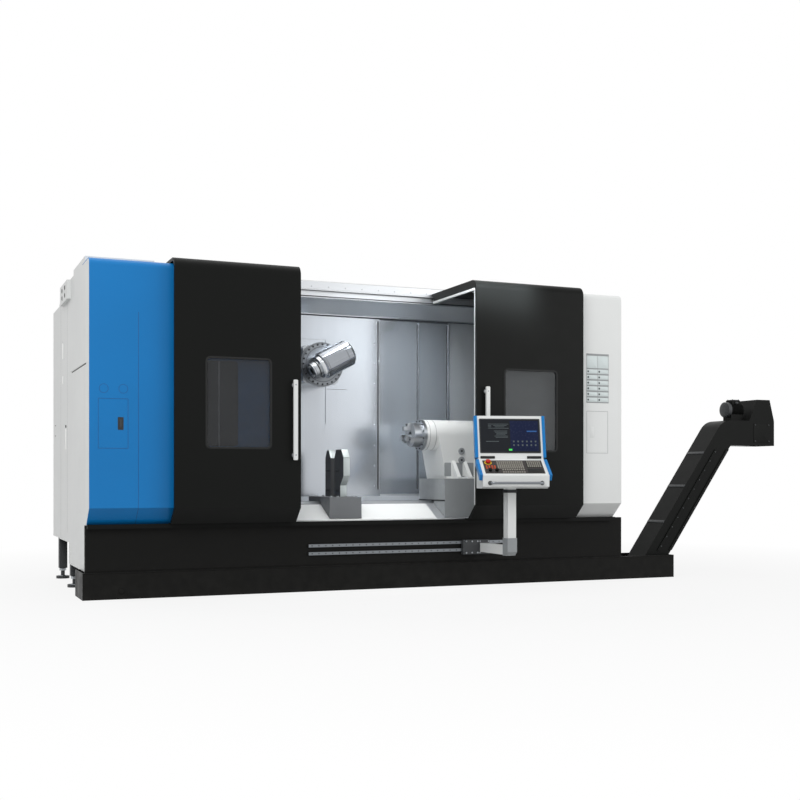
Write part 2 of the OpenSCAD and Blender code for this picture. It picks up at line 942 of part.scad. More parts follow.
module chuck_jaws() {
    jaw_l = 60;
    jaw_w = 64;
    color(steel) in_row() jaw_set(chuck_face, chuck_d / 2, jaw_l, jaw_w, 1);
}

// Column: saddle on the rails, two posts and the yoke that joins them
module column() {
    half = post_in + post_wide;
    lap = 20;
    color(cast) in_row() {
        block([head_x - half, saddle_front, rail_top + run_gap],
            [head_x + half, saddle_rear, rail_top + saddle_h]);
        for (s = [-1, 1]) {
            x0 = head_x + (s > 0 ? post_in : -half);
            block([x0, column_front, rail_top + saddle_h - lap], [x0 + post_wide, column_rear, column_top]);
        }
        block([head_x - half, column_front, column_top - yoke_h], [head_x + half, column_rear, column_top]);
    }
}

// Front sheet of the back wall, slotted for the ram and held by a bracket on the column
module wall_shield() {
    bracket_in = 34;
    bracket_x = head_x + post_in + bracket_in;
    bracket_w = 28;
    bracket_low = guide_low + 13;
    bracket_high = guide_high - guide_h;
    color(stainless) in_row() {
        difference() {
            block([shield_left, shield_y, sill_z + run_gap], [shield_right, shield_y + wall_t, column_top]);
            block([head_x - slot_half, shield_y - eps, head_z - slot_down],
                [head_x + slot_half, shield_y + wall_t + eps, head_z + slot_rise]);
        }
        block([bracket_x, shield_y + wall_t - eps, bracket_low],
            [bracket_x + bracket_w, column_front, bracket_high]);
    }
}

// A sliding sheet of the back wall, with a forward lip along one edge
module wall_plate(x0, x1, y0, lip_x) {
    block([x0, y0, guide_low + run_gap], [x1, y0 + wall_t, guide_high - run_gap]);
    block([lip_x, y0 - plate_lip, guide_low + 2 * guide_h],
        [lip_x + plate_lip, y0 + eps, guide_high - guide_h]);
}

module wall_plate_right_1() {
    color(stainless) in_row()
        wall_plate(right_1_end - right_1_w, right_1_end, plate_1_y, right_1_end - plate_lip);
}

module wall_plate_right_2() {
    color(stainless) in_row()
        wall_plate(right_2_end - right_2_w, right_2_end, plate_2_y, right_2_end - plate_lip);
}

module wall_plate_left_1() {
    color(stainless) in_row() wall_plate(left_1_x, left_1_x + left_plate_w, plate_1_y, left_1_x);
}

module wall_plate_left_2() {
    color(stainless) in_row() wall_plate(left_2_x, left_2_x + left_plate_w, plate_2_y, left_2_x);
}

// Slide between the column posts, with the collar that carries the slot sheet
module head_slide() {
    collar = slot_half;
    half = post_in - run_gap;
    color(cast) in_row() difference() {
        union() {
            block([head_x - half, column_front, head_z - slide_h],
                [head_x + half, column_rear, head_z + slide_h]);
            block([head_x - collar, slot_y + wall_t, head_z - collar],
                [head_x + collar, column_front + eps, head_z + collar]);
        }
        ram_bore();
    }
}

// The square way that the ram runs in
module ram_bore() {
    half = ram_w / 2 + run_gap;
    block([head_x - half, slot_y - eps, head_z - half], [head_x + half, column_rear + eps, head_z + half]);
}

module slot_plate() {
    slot_lap = 60;
    half_w = slot_half + slot_lap;
    half_h = slot_down + 100;
    color(stainless) in_row() difference() {
        block([head_x - half_w, slot_y, head_z - half_h],
            [head_x + half_w, slot_y + wall_t, head_z + half_h]);
        ram_bore();
    }
}

module ram() {
    half = ram_w / 2;
    edge = 24;
    color(steel) in_row() along_y(ram_y + run_gap, ram_l) translate([head_x, head_z]) polygon([
        [-half, edge - half], [edge - half, -half], [half - edge, -half], [half, edge - half],
        [half, half - edge], [half - edge, half], [edge - half, half], [-half, half - edge]
    ]);
}

// Places a piece whose axis is z on the swivel axis, which runs along y
module on_swivel(y) {
    translate([head_x, y, head_z]) rotate([-90, 0, 0]) children();
}

// Disc with a stepped rim and a circle of countersunk bolt seats
module swivel_disc() {
    bolts = 24;
    bolt_in = 21;
    bolt_circle = disc_d - 2 * bolt_in;
    seat_d = 18;
    seat_h = 6;
    rim_h = 10;
    rim_step = 8;
    color(steel) in_row() difference() {
        union() {
            on_swivel(disc_y + rim_h) cylinder(h = disc_t - rim_h, d = disc_d, $fn = 96);
            on_swivel(disc_y) cylinder(h = rim_h + eps, d = disc_d - 2 * rim_step, $fn = 96);
        }
        for (a = [0 : 360 / bolts : 359])
            on_swivel(disc_y - eps) rotate([0, 0, a]) translate([bolt_circle / 2, 0, 0])
                cylinder(h = seat_h, d = seat_d, $fn = 16);
    }
}

// Places a piece whose axis is z on the tool spindle axis, nose towards negative z
module on_tool() {
    translate([head_x, tool_y, head_z]) rotate([0, 90 - tool_tilt, 0]) children();
}

// Tool spindle housing: cylinder with stepped nose and domed rear, on a saddle against the disc
module spindle_housing() {
    saddle = 90;
    saddle_in = 12;
    rear_dome = 26;
    edge = 4;
    step_r = nose_d / 2 + 26;
    bore_l = shank_l + 20;
    color(stainless) in_row() difference() {
        union() {
            on_tool() rotate_extrude($fn = 96) polygon([
                [0, -tool_front - tool_step], [step_r, -tool_front - tool_step],
                [step_r + edge, -tool_front], [tool_d / 2 - edge, -tool_front],
                [tool_d / 2, edge - tool_front],
                [tool_d / 2, tool_rear - rear_dome], [tool_d / 2 - rear_dome, tool_rear], [0, tool_rear]
            ]);
            intersection() {
                on_tool() translate([-saddle, 0, saddle_in - tool_front])
                    cube([2 * saddle, tool_out, tool_rear]);
                block([0, 0, 0], [cabin_w, disc_y, cover_top]);
            }
        }
        on_tool() translate([0, 0, -tool_front - tool_step - eps])
            cylinder(h = bore_l, d = shank_d + 2 * run_gap, $fn = 64);
    }
}

// Rotating nose with its tool bore
module spindle_nose() {
    tool_bore_d = 63;
    tool_bore_l = 90;
    low = -tool_front - tool_step - tool_nose;
    color(steel) in_row() on_tool() difference() {
        union() {
            translate([0, 0, low]) cylinder(h = tool_nose - run_gap, d = nose_d, $fn = 64);
            translate([0, 0, low + tool_nose - run_gap - eps]) cylinder(h = shank_l, d = shank_d, $fn = 64);
        }
        translate([0, 0, low - eps]) cylinder(h = tool_bore_l, d = tool_bore_d, $fn = 64);
    }
}

// Section of a slide base that follows the floor and rides on the bed ways
module slide_section(top, front_gap) {
    step_y = bed_front - floor_step;
    polygon([
        [plinth_front, top], [plinth_front, floor_z(plinth_front) + front_gap],
        [step_y, floor_z(step_y) + front_gap], [step_y, way_top + run_gap],
        [plinth_back, way_top + run_gap], [plinth_back, top]
    ]);
}

module tailstock_base() {
    color(cast) in_row() along_x(plinth_x, tail_l) slide_section(plinth_top, floor_gap);
}

// Tailstock body: slanted nose side, round shoulder over the quill, front gussets with recesses
module tailstock_body() {
    shoulder = quill_d / 2;
    body_front = axis_y - shoulder;
    rib_t = 34;
    rib_top = 160;
    rib_foot = plinth_front + 10;
    rib_toe = 14;
    ribs = [130, 240, 350];
    boss_x = 430;
    boss_z = [150, 240];
    boss_d = 52;
    boss_h = 14;
    nose_x = plinth_x - 4;
    nose_foot = plinth_x + 78;
    nose_z = axis_z + 32;
    lap = 40;
    bore = quill_shaft_d + 2 * run_gap;
    bore_l = quill_shaft_l + 40;
    color(white) in_row() difference() {
        union() {
            bar_x(tail_body_x + run_gap, plinth_x + tail_l, quill_d);
            intersection() {
                along_x(plinth_x - lap, tail_l + lap) {
                    translate([axis_y, axis_z]) circle(shoulder, $fn = 96);
                    translate([body_front, plinth_top])
                        square([plinth_back - body_front, axis_z - plinth_top]);
                    translate([axis_y, plinth_top])
                        square([plinth_back - axis_y, axis_z + shoulder - plinth_top]);
                }
                along_y(0, cabin_depth) polygon([
                    [nose_foot, plinth_top], [nose_x, nose_z], [nose_x, cover_top],
                    [plinth_x + tail_l, cover_top], [plinth_x + tail_l, plinth_top]
                ]);
            }
            for (x = ribs) along_x(plinth_x + x, rib_t) polygon([
                [body_front + eps, plinth_top], [rib_foot, plinth_top],
                [rib_foot, plinth_top + rib_toe], [body_front + eps, plinth_top + rib_top]
            ]);
            for (z = boss_z) translate([plinth_x + boss_x, body_front + eps, plinth_top + z])
                rotate([90, 0, 0]) cylinder(h = boss_h, d = boss_d, $fn = 32);
        }
        bar_x(tail_body_x - eps, tail_body_x + bore_l, bore);
    }
}

// Tail chuck with its mounting flange and the quill shaft behind it
module tail_chuck() {
    body_x = tail_x + tail_jaw_l;
    bore_d = 60;
    bore_l = 60;
    color(steel) in_row() difference() {
        union() {
            bar_x(body_x, body_x + tail_body_t + eps, tail_chuck_d);
            bar_x(body_x + tail_body_t, tail_body_x, tail_flange_d);
            bar_x(tail_body_x - eps, tail_body_x + quill_shaft_l, quill_shaft_d);
        }
        bar_x(body_x - eps, body_x + bore_l, bore_d);
    }
}

module tail_jaws() {
    jaw_w = 44;
    color(steel) in_row() jaw_set(tail_x + tail_jaw_l, tail_chuck_d / 2, tail_jaw_l, jaw_w, -1);
}

module steady_base() {
    color(cast) in_row() along_x(steady_x, steady_w) slide_section(steady_base_top, 2 * floor_gap);
}

// Two upright arms on the steady base, chamfered at the head and waisted towards the foot
module steady_arms() {
    chamfer_y = 50;
    chamfer_in = 40;
    chamfer_z = 70;
    waist = 79;
    waist_low = steady_base_top + 98;
    waist_high = waist_low + waist;
    arm_in = 132;
    x0 = steady_x + arm_in;
    color(graphite) in_row() along_x(x0, steady_t) {
        polygon([
            [steady_front + waist, steady_base_top], [steady_front + waist, waist_low],
            [steady_front, waist_high], [steady_front, steady_top - chamfer_z],
            [steady_front + chamfer_y, steady_top], [steady_gap[0] - chamfer_in, steady_top],
            [steady_gap[0], steady_top - chamfer_z], [steady_gap[0], steady_base_top]
        ]);
        polygon([
            [steady_gap[1], steady_base_top], [steady_gap[1], steady_top - chamfer_z],
            [steady_gap[1] + chamfer_y, steady_top], [steady_back - chamfer_in, steady_top],
            [steady_back, steady_top - chamfer_z], [steady_back, steady_base_top]
        ]);
    }
}

// A sliding door: bevelled shell with its roof, foot flange, window hole and a fascia at the leading edge
module door(x0, w, lead_x) {
    difference() {
        along_x(x0, w) difference() {
            door_region(0, door_roof);
            door_region(door_t, door_roof + eps);
        }
        translate([x0 + w / 2, 0, window_z]) along_y(-door_out - eps, door_t + 2 * eps)
            round_rect(window_w, window_h, window_r);
    }
    along_x(x0, w) polygon([
        [door_bevel_in - door_out, door_low], [door_flange, door_low], [door_flange, door_low + sheet],
        [door_bevel_in - door_out, door_low + sheet]
    ]);
    block([lead_x, door_t - door_out - eps, door_top - door_t - door_fascia],
        [lead_x + door_fascia_w, door_fascia_back, door_top - door_t + eps]);
}

// The pane that closes a door's window hole
module window_pane(x0, w) {
    translate([x0 + w / 2, 0, window_z]) along_y(-door_out + (door_t - glass_t) / 2, glass_t)
        round_rect(window_w - 2 * glass_gap, window_h - 2 * glass_gap, window_r - glass_gap);
}

// Bar handle on two standoffs
module bar_handle(x) {
    post_d = 24;
    post_end = 40;
    edge_r = 8;
    bar_y = -door_out - handle_gap - handle_d;
    translate([x, bar_y, handle_z]) along_y(0, handle_d) round_rect(handle_w, handle_l, edge_r);
    for (s = [-1, 1]) translate([x, bar_y + handle_d - eps, handle_z + s * (handle_l / 2 - post_end)])
        rotate([-90, 0, 0]) cylinder(h = handle_gap + eps, d = post_d, $fn = 32);
}

module left_door() {
    color(black) in_row() door(left_door_x, left_door_w, left_door_x + left_door_w - door_fascia_w);
}

module left_window() {
    color(glass) in_row() window_pane(left_door_x, left_door_w);
}

module left_handle() {
    color(white) in_row() bar_handle(left_door_x + left_door_w - handle_edge);
}

module right_door() {
    color(black) in_row() door(right_door_x, right_door_w, right_door_x);
}

module right_window() {
    color(glass) in_row() window_pane(right_door_x, right_door_w);
}

module right_handle() {
    color(white) in_row() bar_handle(right_door_x + right_handle_edge);
}

// Small service hatch with the recess of its turn latch
module hatch(x, latch_x) {
    latch_w = 44;
    latch_h = 98;
    latch_depth = 2;
    difference() {
        block([x, 0, hatch_z - hatch_h / 2], [x + hatch_w, hatch_t, hatch_z + hatch_h / 2]);
        block([latch_x - latch_w / 2, -eps, hatch_z - latch_h / 2],
            [latch_x + latch_w / 2, latch_depth, hatch_z + latch_h / 2]);
    }
}

module left_hatch() {
    color(blue) in_row() hatch(left_hatch_x, left_hatch_x + hatch_w - latch_in);
}

module right_hatch() {
    color(white) in_row() hatch(right_hatch_x, right_hatch_x + latch_in);
}

// Carriage that grips both rails, with the flange for the arm
module pendant_carriage() {
    carriage_z = [arm_z - 59, bar_z[0] + 21];
    skirt_gap = 1;
    flange_half = 46;
    flange_in = 6;
    color(graphite) in_row() {
        difference() {
            block([carriage_x[0], carriage_front, carriage_z[0]],
                [carriage_x[1], bevel_in - skirt_gap, carriage_z[1]]);
            for (z = bar_z)
                block([bar_x0, bevel_in - bar_out - run_gap, z - bar_h / 2 - run_gap],
                    [bar_x1, bevel_in, z + bar_h / 2 + run_gap]);
        }
        block([arm_x - flange_half, carriage_front - arm_flange, carriage_z[0] + flange_in],
            [arm_x + flange_half, carriage_front + eps, carriage_z[1] - flange_in]);
    }
}

// Square tube arm, chamfered elbow block and upright post
module pendant_arm() {
    half = tube_w / 2;
    elbow = half + 4;
    elbow_h = 103;
    chamfer = 10;
    color(white) in_row() {
        block([arm_x - half, -post_out, arm_z - half],
            [arm_x + half, carriage_front - arm_flange, arm_z + half]);
        along_x(arm_x - elbow, 2 * elbow) translate([-post_out, arm_z]) polygon([
            [elbow, -elbow], [elbow, elbow_h], [-elbow, elbow_h], [-elbow, -chamfer], [-chamfer, -elbow]
        ]);
        block([arm_x - half, -post_out - half, arm_z], [arm_x + half, half - post_out, panel_low - run_gap]);
    }
}

// Moves the panel's own frame onto the post
module in_panel() {
    in_row() translate([arm_x, -post_out, 0]) rotate([0, 0, -panel_turn]) children();
}

// Moves a piece drawn in x-y onto the keypad slope: y up the slope, z outwards
module on_slope(x, along) {
    p = face_foot + along * down;
    translate([x, p[0], p[1]]) rotate([slope_angle, 0, 0]) children();
}

// Moves a piece drawn in x-y onto the screen face: y up the face, z outwards
module on_face(along) {
    p = face_foot + along * up;
    translate([0, p[0], p[1]]) rotate([90 - tilt, 0, 0]) children();
}

// Panel casing: keypad box and tilted screen slab in one side outline
module panel_housing() {
    casing_w = panel_w - 2 * trim_w;
    box_back = 40;
    lip_in = 8;
    lip_up = 15;
    belly_in = 70;
    slab_top = face_foot + slab_l * up;
    slab_back = slab_top + slab_t * back;
    join_z = slab_back[1] - (slab_back[0] - box_back) / tan(tilt);
    pocket = 14;
    color(white) in_panel() difference() {
        along_x(-casing_w / 2, casing_w) polygon([
            face_foot, lip_edge, [lip_edge[0] + lip_in, panel_low + lip_up],
            [lip_edge[0] + belly_in, panel_low],
            [box_back, panel_low], [box_back, join_z], slab_back, slab_top
        ]);
        for (k = knob_place) on_slope(k[0], k[1]) translate([0, 0, -pocket])
            cylinder(h = pocket + eps, d = shaft_d + 2 * run_gap, $fn = 32);
        on_slope(estop_place[0], estop_place[1]) translate([0, 0, -pocket])
            cylinder(h = pocket + eps, d = stem_d + 2 * run_gap, $fn = 32);
    }
}

// Blue end trims beside the screen and beside the keypad
module panel_trim() {
    low = 12;
    near = 14;
    far = slope_l - 6;
    screen_trim = [[low, -trim_proud], [slab_l, -trim_proud], [slab_l, slab_t], [low, slab_t]];
    keypad_trim = [[near, -trim_proud], [far, -trim_proud], [far, slab_t], [near, slab_t]];
    color(blue) in_panel() for (x = [-panel_w / 2, panel_w / 2 - trim_w]) along_x(x, trim_w) {
        polygon([for (p = screen_trim) face_foot + p[0] * up + p[1] * back]);
        polygon([for (p = keypad_trim) face_foot + p[0] * down + p[1] * into]);
    }
}

module panel_screen() {
    raise = 12;
    color(glass) in_panel() on_face(slab_l / 2 + raise) translate([-screen_w / 2, -screen_h / 2, 0])
        cube([screen_w, screen_h, plate_t]);
}

module panel_keypad() {
    color(graphite) in_panel() difference() {
        on_slope(0, keypad_mid) translate([-keypad_w / 2, -keypad_d / 2, 0])
            cube([keypad_w, keypad_d, plate_t]);
        for (k = knob_place) on_slope(k[0], k[1]) translate([0, 0, -eps])
            cylinder(h = plate_t + 2 * eps, d = shaft_d + 2 * run_gap, $fn = 32);
        on_slope(estop_place[0], estop_place[1]) translate([0, 0, -eps])
            cylinder(h = plate_t + 2 * eps, d = stem_d + 2 * run_gap, $fn = 32);
    }
}

// Bent tube grip along the front lip
module panel_handle() {
    sunk = 4;
    root = -lip_edge[0] - sunk;
    color(steel) in_panel() translate([0, 0, grip_z]) {
        translate([grip_bend - grip_half, -grip_out, 0]) rotate([0, 90, 0])
            cylinder(h = 2 * (grip_half - grip_bend), r = grip_r, $fn = 32);
        for (s = [-1, 1]) {
            translate([s * grip_half, grip_bend - grip_out, 0]) rotate([-90, 0, 0])
                cylinder(h = grip_out - grip_bend - root, r = grip_r, $fn = 32);
            translate([s * (grip_half - grip_bend), grip_bend - grip_out, 0])
                rotate([0, 0, s > 0 ? -90 : 180]) rotate_extrude(angle = 90, $fn = 48)
                    translate([grip_bend, 0]) circle(grip_r, $fn = 32);
        }
    }
}

// Mushroom button on its stem
module estop_button() {
    head_d = 40;
    head_h = 14;
    head_low = 12;
    stem_in = 4;
    color(red) in_panel() on_slope(estop_place[0], estop_place[1]) {
        translate([0, 0, -stem_in]) cylinder(h = head_low + stem_in + eps, d = stem_d, $fn = 32);
        translate([0, 0, head_low]) cylinder(h = head_h, d = head_d, $fn = 48);
    }
}

// Rotary switch with a pointer ridge on its shaft
module rotary_knob(place) {
    knob_d = 30;
    knob_h = 18;
    ridge_w = 4;
    ridge_h = 3;
    ridge_l = knob_d - ridge_w;
    shaft_in = 6;
    low = plate_t + run_gap;
    in_panel() on_slope(place[0], place[1]) {
        translate([0, 0, -shaft_in]) cylinder(h = low + shaft_in + eps, d = shaft_d, $fn = 32);
        translate([0, 0, low]) cylinder(h = knob_h, d = knob_d, $fn = 32);
        translate([-ridge_w / 2, -ridge_l / 2, low + knob_h - eps]) cube([ridge_w, ridge_l, ridge_h]);
    }
}

module feed_knob() {
    color(black) rotary_knob(knob_place[0]);
}

module speed_knob() {
    color(black) rotary_knob(knob_place[1]);
}

bed();
guide_ways();
levelling_feet();
chip_tray();
base_skirt();
left_cover();
right_cover();
left_end_panel();
right_end_panel();
rear_housing();
roof_panel();
roof_boxes();
chip_floor();
inner_walls();
wall_guides();
header_beam();
headstock();
door_tracks();
pendant_rails();
conveyor_housing();
conveyor_motor();
main_spindle();
chuck_body();
chuck_jaws();
column();
wall_shield();
wall_plate_right_1();
wall_plate_right_2();
wall_plate_left_1();
wall_plate_left_2();
head_slide();
slot_plate();
ram();
swivel_disc();
spindle_housing();
spindle_nose();
tailstock_base();
tailstock_body();
tail_chuck();
tail_jaws();
steady_base();
steady_arms();
left_door();
left_window();
left_handle();
right_door();
right_window();
right_handle();
left_hatch();
right_hatch();
pendant_carriage();
pendant_arm();
panel_housing();
panel_trim();
panel_screen();
panel_keypad();
panel_handle();
estop_button();
feed_knob();
speed_knob();
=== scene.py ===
"""Looks of the turn-mill centre: finishes for every solid, and the fine pieces that the solids leave out."""
import math

import bmesh
import bpy
import numpy as np
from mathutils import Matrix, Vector


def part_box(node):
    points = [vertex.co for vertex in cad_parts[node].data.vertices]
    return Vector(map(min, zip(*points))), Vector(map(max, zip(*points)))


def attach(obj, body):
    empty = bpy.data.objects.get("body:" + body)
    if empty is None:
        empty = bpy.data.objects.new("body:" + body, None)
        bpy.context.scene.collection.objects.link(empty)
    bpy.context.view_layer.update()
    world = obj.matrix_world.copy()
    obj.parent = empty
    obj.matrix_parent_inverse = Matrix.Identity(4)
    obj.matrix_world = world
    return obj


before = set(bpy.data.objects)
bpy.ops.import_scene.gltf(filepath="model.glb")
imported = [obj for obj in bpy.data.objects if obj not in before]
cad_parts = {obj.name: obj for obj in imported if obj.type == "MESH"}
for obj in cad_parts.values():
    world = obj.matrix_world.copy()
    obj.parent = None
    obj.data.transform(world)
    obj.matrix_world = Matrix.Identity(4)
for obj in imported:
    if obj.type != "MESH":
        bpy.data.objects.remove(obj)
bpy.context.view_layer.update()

# Machine coordinates: millimetres from the left cover's left edge, its front face and the floor
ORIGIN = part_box("left_cover")[0]
MM = 0.001

# Camera, from the photograph's vanishing points
CAMERA_AT = (-1238, -8875, 936)
CAMERA_YAW = 23.07
CAMERA_LENS = 51.75
CAMERA_SHIFT_UP = 0.0975
SENSOR = 36

# Cabin, and the heights and latches of the hatches in its front covers
CABIN_W = 4740
CABIN_DEPTH = 2480
HATCH_Z = 1350
LEFT_LATCH_X = 234
RIGHT_LATCH_X = 4427

# Doors: left edge and width of each, their front face and the middle of their windows
LEFT_DOOR = (623, 1016)
RIGHT_DOOR = (3209, 1065)
DOOR_FACE = -100
WINDOW_Z = 1522

# Header's left end, length and fascia, and the front of the travelling wall
HEADER_X = 1005
HEADER_L = 3190
FASCIA_Y = 825
WALL_Y = 1050

# Milling head's disc, and the tool spindle's offset, tilt and ends along its own axis
HEAD = (2072, 620, 1928)
TOOL_OUT = 160
TOOL_TILT = 28
TOOL_REAR = 224
NOSE_FACE = -171

# Spindle line as y and z, left end and front of the tailstock, left end of the steady rest
AXIS = (440, 1317)
TAIL_X = 3038
TAIL_FACE = 305
TAIL_TOP = 931
STEADY_X = 1978
STEADY_TOP = 776

# Pendant panel's own frame: the post's place, the swivel and the foot and slopes of its two faces
POST = (3384, -371)
PANEL_TURN = 17
ELBOW_Z = 330
FACE_FOOT = (-50, 1095)
FACE_TILT = math.radians(13)
LIP_EDGE = (-270, 955)
PAD_OUT = 3.0

# Chip conveyor: slope, foot of its lower edge as x and z, sides, middle, motor, terminal box and head box
SLOPE = math.radians(55)
INCLINE_FOOT = (5266, 6)
CONVEYOR_FRONT = 190
CONVEYOR_BACK = 480
CONVEYOR_Y = 335
MOTOR = (6170, 335, 1610)
TERMINALS_X = 6278
HEAD_BOX = (6520, 1380)

# Edges of new pieces stay sharp past this angle
SHARP = math.radians(30)


def at(x, y, z):
    """A machine coordinate in millimetres as a point of the row frame in metres."""
    return Vector((ORIGIN.x + x * MM, ORIGIN.y + y * MM, z * MM))


class Place:
    """A local frame: an origin in machine millimetres and three unit axes."""

    def __init__(self, origin, ex=(1, 0, 0), ey=(0, 1, 0), ez=(0, 0, 1)):
        self.origin = np.array(at(*origin))
        self.axes = np.array([ex, ey, ez], float)

    def __call__(self, points):
        """Points of this frame in millimetres, as points of the row frame in metres."""
        return self.origin + (np.asarray(points, float) * MM) @ self.axes


def front(x, z, y=0):
    """A frame on a face that looks at the operator: x to the right, y up, z towards the operator."""
    return Place((x, y, z), (1, 0, 0), (0, 0, 1), (0, -1, 0))


def back(x, z, y):
    """A frame on a face that looks to the rear: x to the left, y up, z to the rear."""
    return Place((x, y, z), (-1, 0, 0), (0, 0, 1), (0, 1, 0))


def left(x, y, z):
    """A frame on a face that looks to the left: x towards the operator, y up, z to the left."""
    return Place((x, y, z), (0, -1, 0), (0, 0, 1), (-1, 0, 0))


def right(x, y, z):
    """A frame on a face that looks to the right: x to the rear, y up, z to the right."""
    return Place((x, y, z), (0, 1, 0), (0, 0, 1), (1, 0, 0))


def top(x, y, z=0):
    """A frame on a face that looks up, along the machine's own axes."""
    return Place((x, y, z))


def turned(vector):
    """A direction of the panel's own frame, turned with the panel about the vertical."""
    a = math.radians(-PANEL_TURN)
    x, y, z = vector
    return (x * math.cos(a) - y * math.sin(a), x * math.sin(a) + y * math.cos(a), z)


def panel_point(x, y, z):
    """A point of the panel's own frame in machine coordinates."""
    px, py, pz = turned((x, y, z))
    return (POST[0] + px, POST[1] + py, pz)


def screen_face(x, along, out=0.0):
    """A frame on the screen's face: x to the right, y up the face, z out of it."""
    up = (0, math.sin(FACE_TILT), math.cos(FACE_TILT))
    normal = (0, -math.cos(FACE_TILT), math.sin(FACE_TILT))
    y = FACE_FOOT[0] + along * up[1] + out * normal[1]
    z = FACE_FOOT[1] + along * up[2] + out * normal[2]
    return Place(panel_point(x, y, z), turned((1, 0, 0)), turned(up), turned(normal))


def keypad_face(x, along, out=PAD_OUT):
    """A frame on the keypad's slope, measured down from the screen's foot: y up the slope, z out of it."""
    run = np.array(LIP_EDGE, float) - np.array(FACE_FOOT, float)
    run /= np.linalg.norm(run)
    normal = (0, run[1], -run[0])
    y = FACE_FOOT[0] + along * run[0] + out * normal[1]
    z = FACE_FOOT[1] + along * run[1] + out * normal[2]
    return Place(panel_point(x, y, z), turned((1, 0, 0)), turned((0, -run[0], -run[1])), turned(normal))


def tool_frame(along):
    """A frame on the tool spindle: z along its axis towards the rear, y towards the swivel disc."""
    a = math.radians(TOOL_TILT)
    axis = (math.cos(a), 0, math.sin(a))
    side = (math.sin(a), 0, -math.cos(a))
    origin = (HEAD[0] + along * axis[0], HEAD[1] - TOOL_OUT, HEAD[2] + along * axis[2])
    return Place(origin, side, (0, 1, 0), axis)


# Mesh forms


def rounded_outline(w, h, r, steps=4):
    """A rectangle w by h, counted anticlockwise: each corner's centre plus a quarter circle of radius r."""
    r = min(r, w / 2 - 1e-3, h / 2 - 1e-3)
    centres = np.array([(1, 1), (-1, 1), (-1, -1), (1, -1)]) * (w / 2 - r, h / 2 - r)
    angles = np.radians(np.add.outer((0, 90, 180, 270), np.linspace(0, 90, steps + 1)))
    arcs = r * np.stack([np.cos(angles), np.sin(angles)], axis=-1)
    return (centres[:, None] + arcs).reshape(-1, 2)


def lifted(flat, z):
    """A flat outline at a height."""
    return np.column_stack([flat, np.full(len(flat), z)])


def circle(r, n):
    """The n points of a circle of radius r, at equal steps of angle."""
    angles = np.linspace(0, 2 * math.pi, n, endpoint=False)
    return np.column_stack([r * np.cos(angles), r * np.sin(angles)])


def around(r, count, start=0.0):
    """The places of count fasteners round a circle of radius r, from a start angle in degrees."""
    angles = np.radians(start + 360 / count * np.arange(count))
    return np.column_stack([r * np.cos(angles), r * np.sin(angles)])


def loft(rings, closed=False):
    """A skin over equal rings of points: quads from each ring to the next, and flat caps at its two ends,
    or quads from the last ring back to the first where it is closed."""
    count, n = len(rings), len(rings[0])
    here = np.arange(n)
    beside = (here + 1) % n
    faces = []
    for k in range(count if closed else count - 1):
        low, high = k * n, (k + 1) % count * n
        faces += np.column_stack([low + here, low + beside, high + beside, high + here]).tolist()
    if not closed:
        faces += [here[::-1].tolist(), ((count - 1) * n + here).tolist()]
    return np.concatenate(rings), faces


def slab(w, h, t, r, edge):
    """A plate w by h by t standing on z = 0, with corner radius r and a quarter-round top edge: its outline
    rises straight, then draws in by edge times the versed sine as it rises by edge times the sine."""
    turn = np.radians((30, 60, 90))
    insets = [0, 0, *(edge * (1 - np.cos(turn)))]
    heights = [0, t - edge, *(t - edge + edge * np.sin(turn))]
    return loft([lifted(rounded_outline(w - 2 * inset, h - 2 * inset, max(r - inset, 0.2)), z)
                 for inset, z in zip(insets, heights)])


def ring_slab(w, h, r, band, t):
    """A picture-frame ring: a crowned section, t thick, carried round an outline w by h as insets of it."""
    section = [(0, 0), (0, t * 0.7), (band * 0.2, t), (band * 0.8, t), (band, t * 0.7), (band, 0)]
    return loft([lifted(rounded_outline(w - 2 * inset, h - 2 * inset, max(r - inset, 0.3), 6), z)
                 for inset, z in section], closed=True)


def framed_sheet(w, h, hole_w, hole_h, hole_up, t):
    """A sheet w by h, t thick, with a round-cornered hole: two outlines counted alike and joined."""
    outer = rounded_outline(w, h, 12, 6)
    inner = rounded_outline(hole_w, hole_h, 40, 6) + np.array((0, hole_up))
    section = [(outer, 0), (outer, t), (inner, t), (inner, 0)]
    return loft([lifted(flat, z) for flat, z in section], closed=True)


def lathe(profile, n):
    """A profile of radius and height turned about z, with a flat cap at each end."""
    return loft([lifted(circle(r, n), z) for r, z in profile])


def ring(profile, n=48):
    """A closed profile of radius and height turned about z."""
    return loft([lifted(circle(r, n), z) for r, z in profile], closed=True)


def flat_ring(r0, r1, t):
    """A washer between two radii, t thick, with its upper edges eased."""
    ease = min(0.3 * t, 0.2 * (r1 - r0))
    return ring([(r0, 0), (r1, 0), (r1, t - ease), (r1 - ease, t), (r0 + ease, t), (r0, t - ease)])


def cap_screw(d, h):
    """A cap screw's head: a chamfered cylinder with a round socket sunk into it."""
    r = d / 2
    head = [(r, 0), (r, h * 0.85), (r * 0.9, h)]
    socket = [(r * 0.52, h), (r * 0.48, h * 0.45), (r * 0.05, h * 0.4)]
    return lathe(head + socket, 16)


def bar(start, end, r, n=12):
    """A round bar of radius r between two points: circles spanned by two directions square to its line."""
    start, end = np.array(start, float), np.array(end, float)
    line = (end - start) / np.linalg.norm(end - start)
    side = np.cross(line, (0.0, 0.0, 1.0) if abs(line[2]) < 0.9 else (1.0, 0.0, 0.0))
    side /= np.linalg.norm(side)
    across = circle(r, n) @ np.array([side, np.cross(line, side)])
    return loft([start + across, end + across])


def moved(form, shift, flip=1):
    """A mesh form shifted in its own frame, after its z is turned over where flip is -1."""
    verts, faces = form
    return verts * np.array((1, 1, flip)) + np.array(shift), faces


def placed(form, place):
    """A mesh form set into a local frame."""
    verts, faces = form
    return place(verts), faces


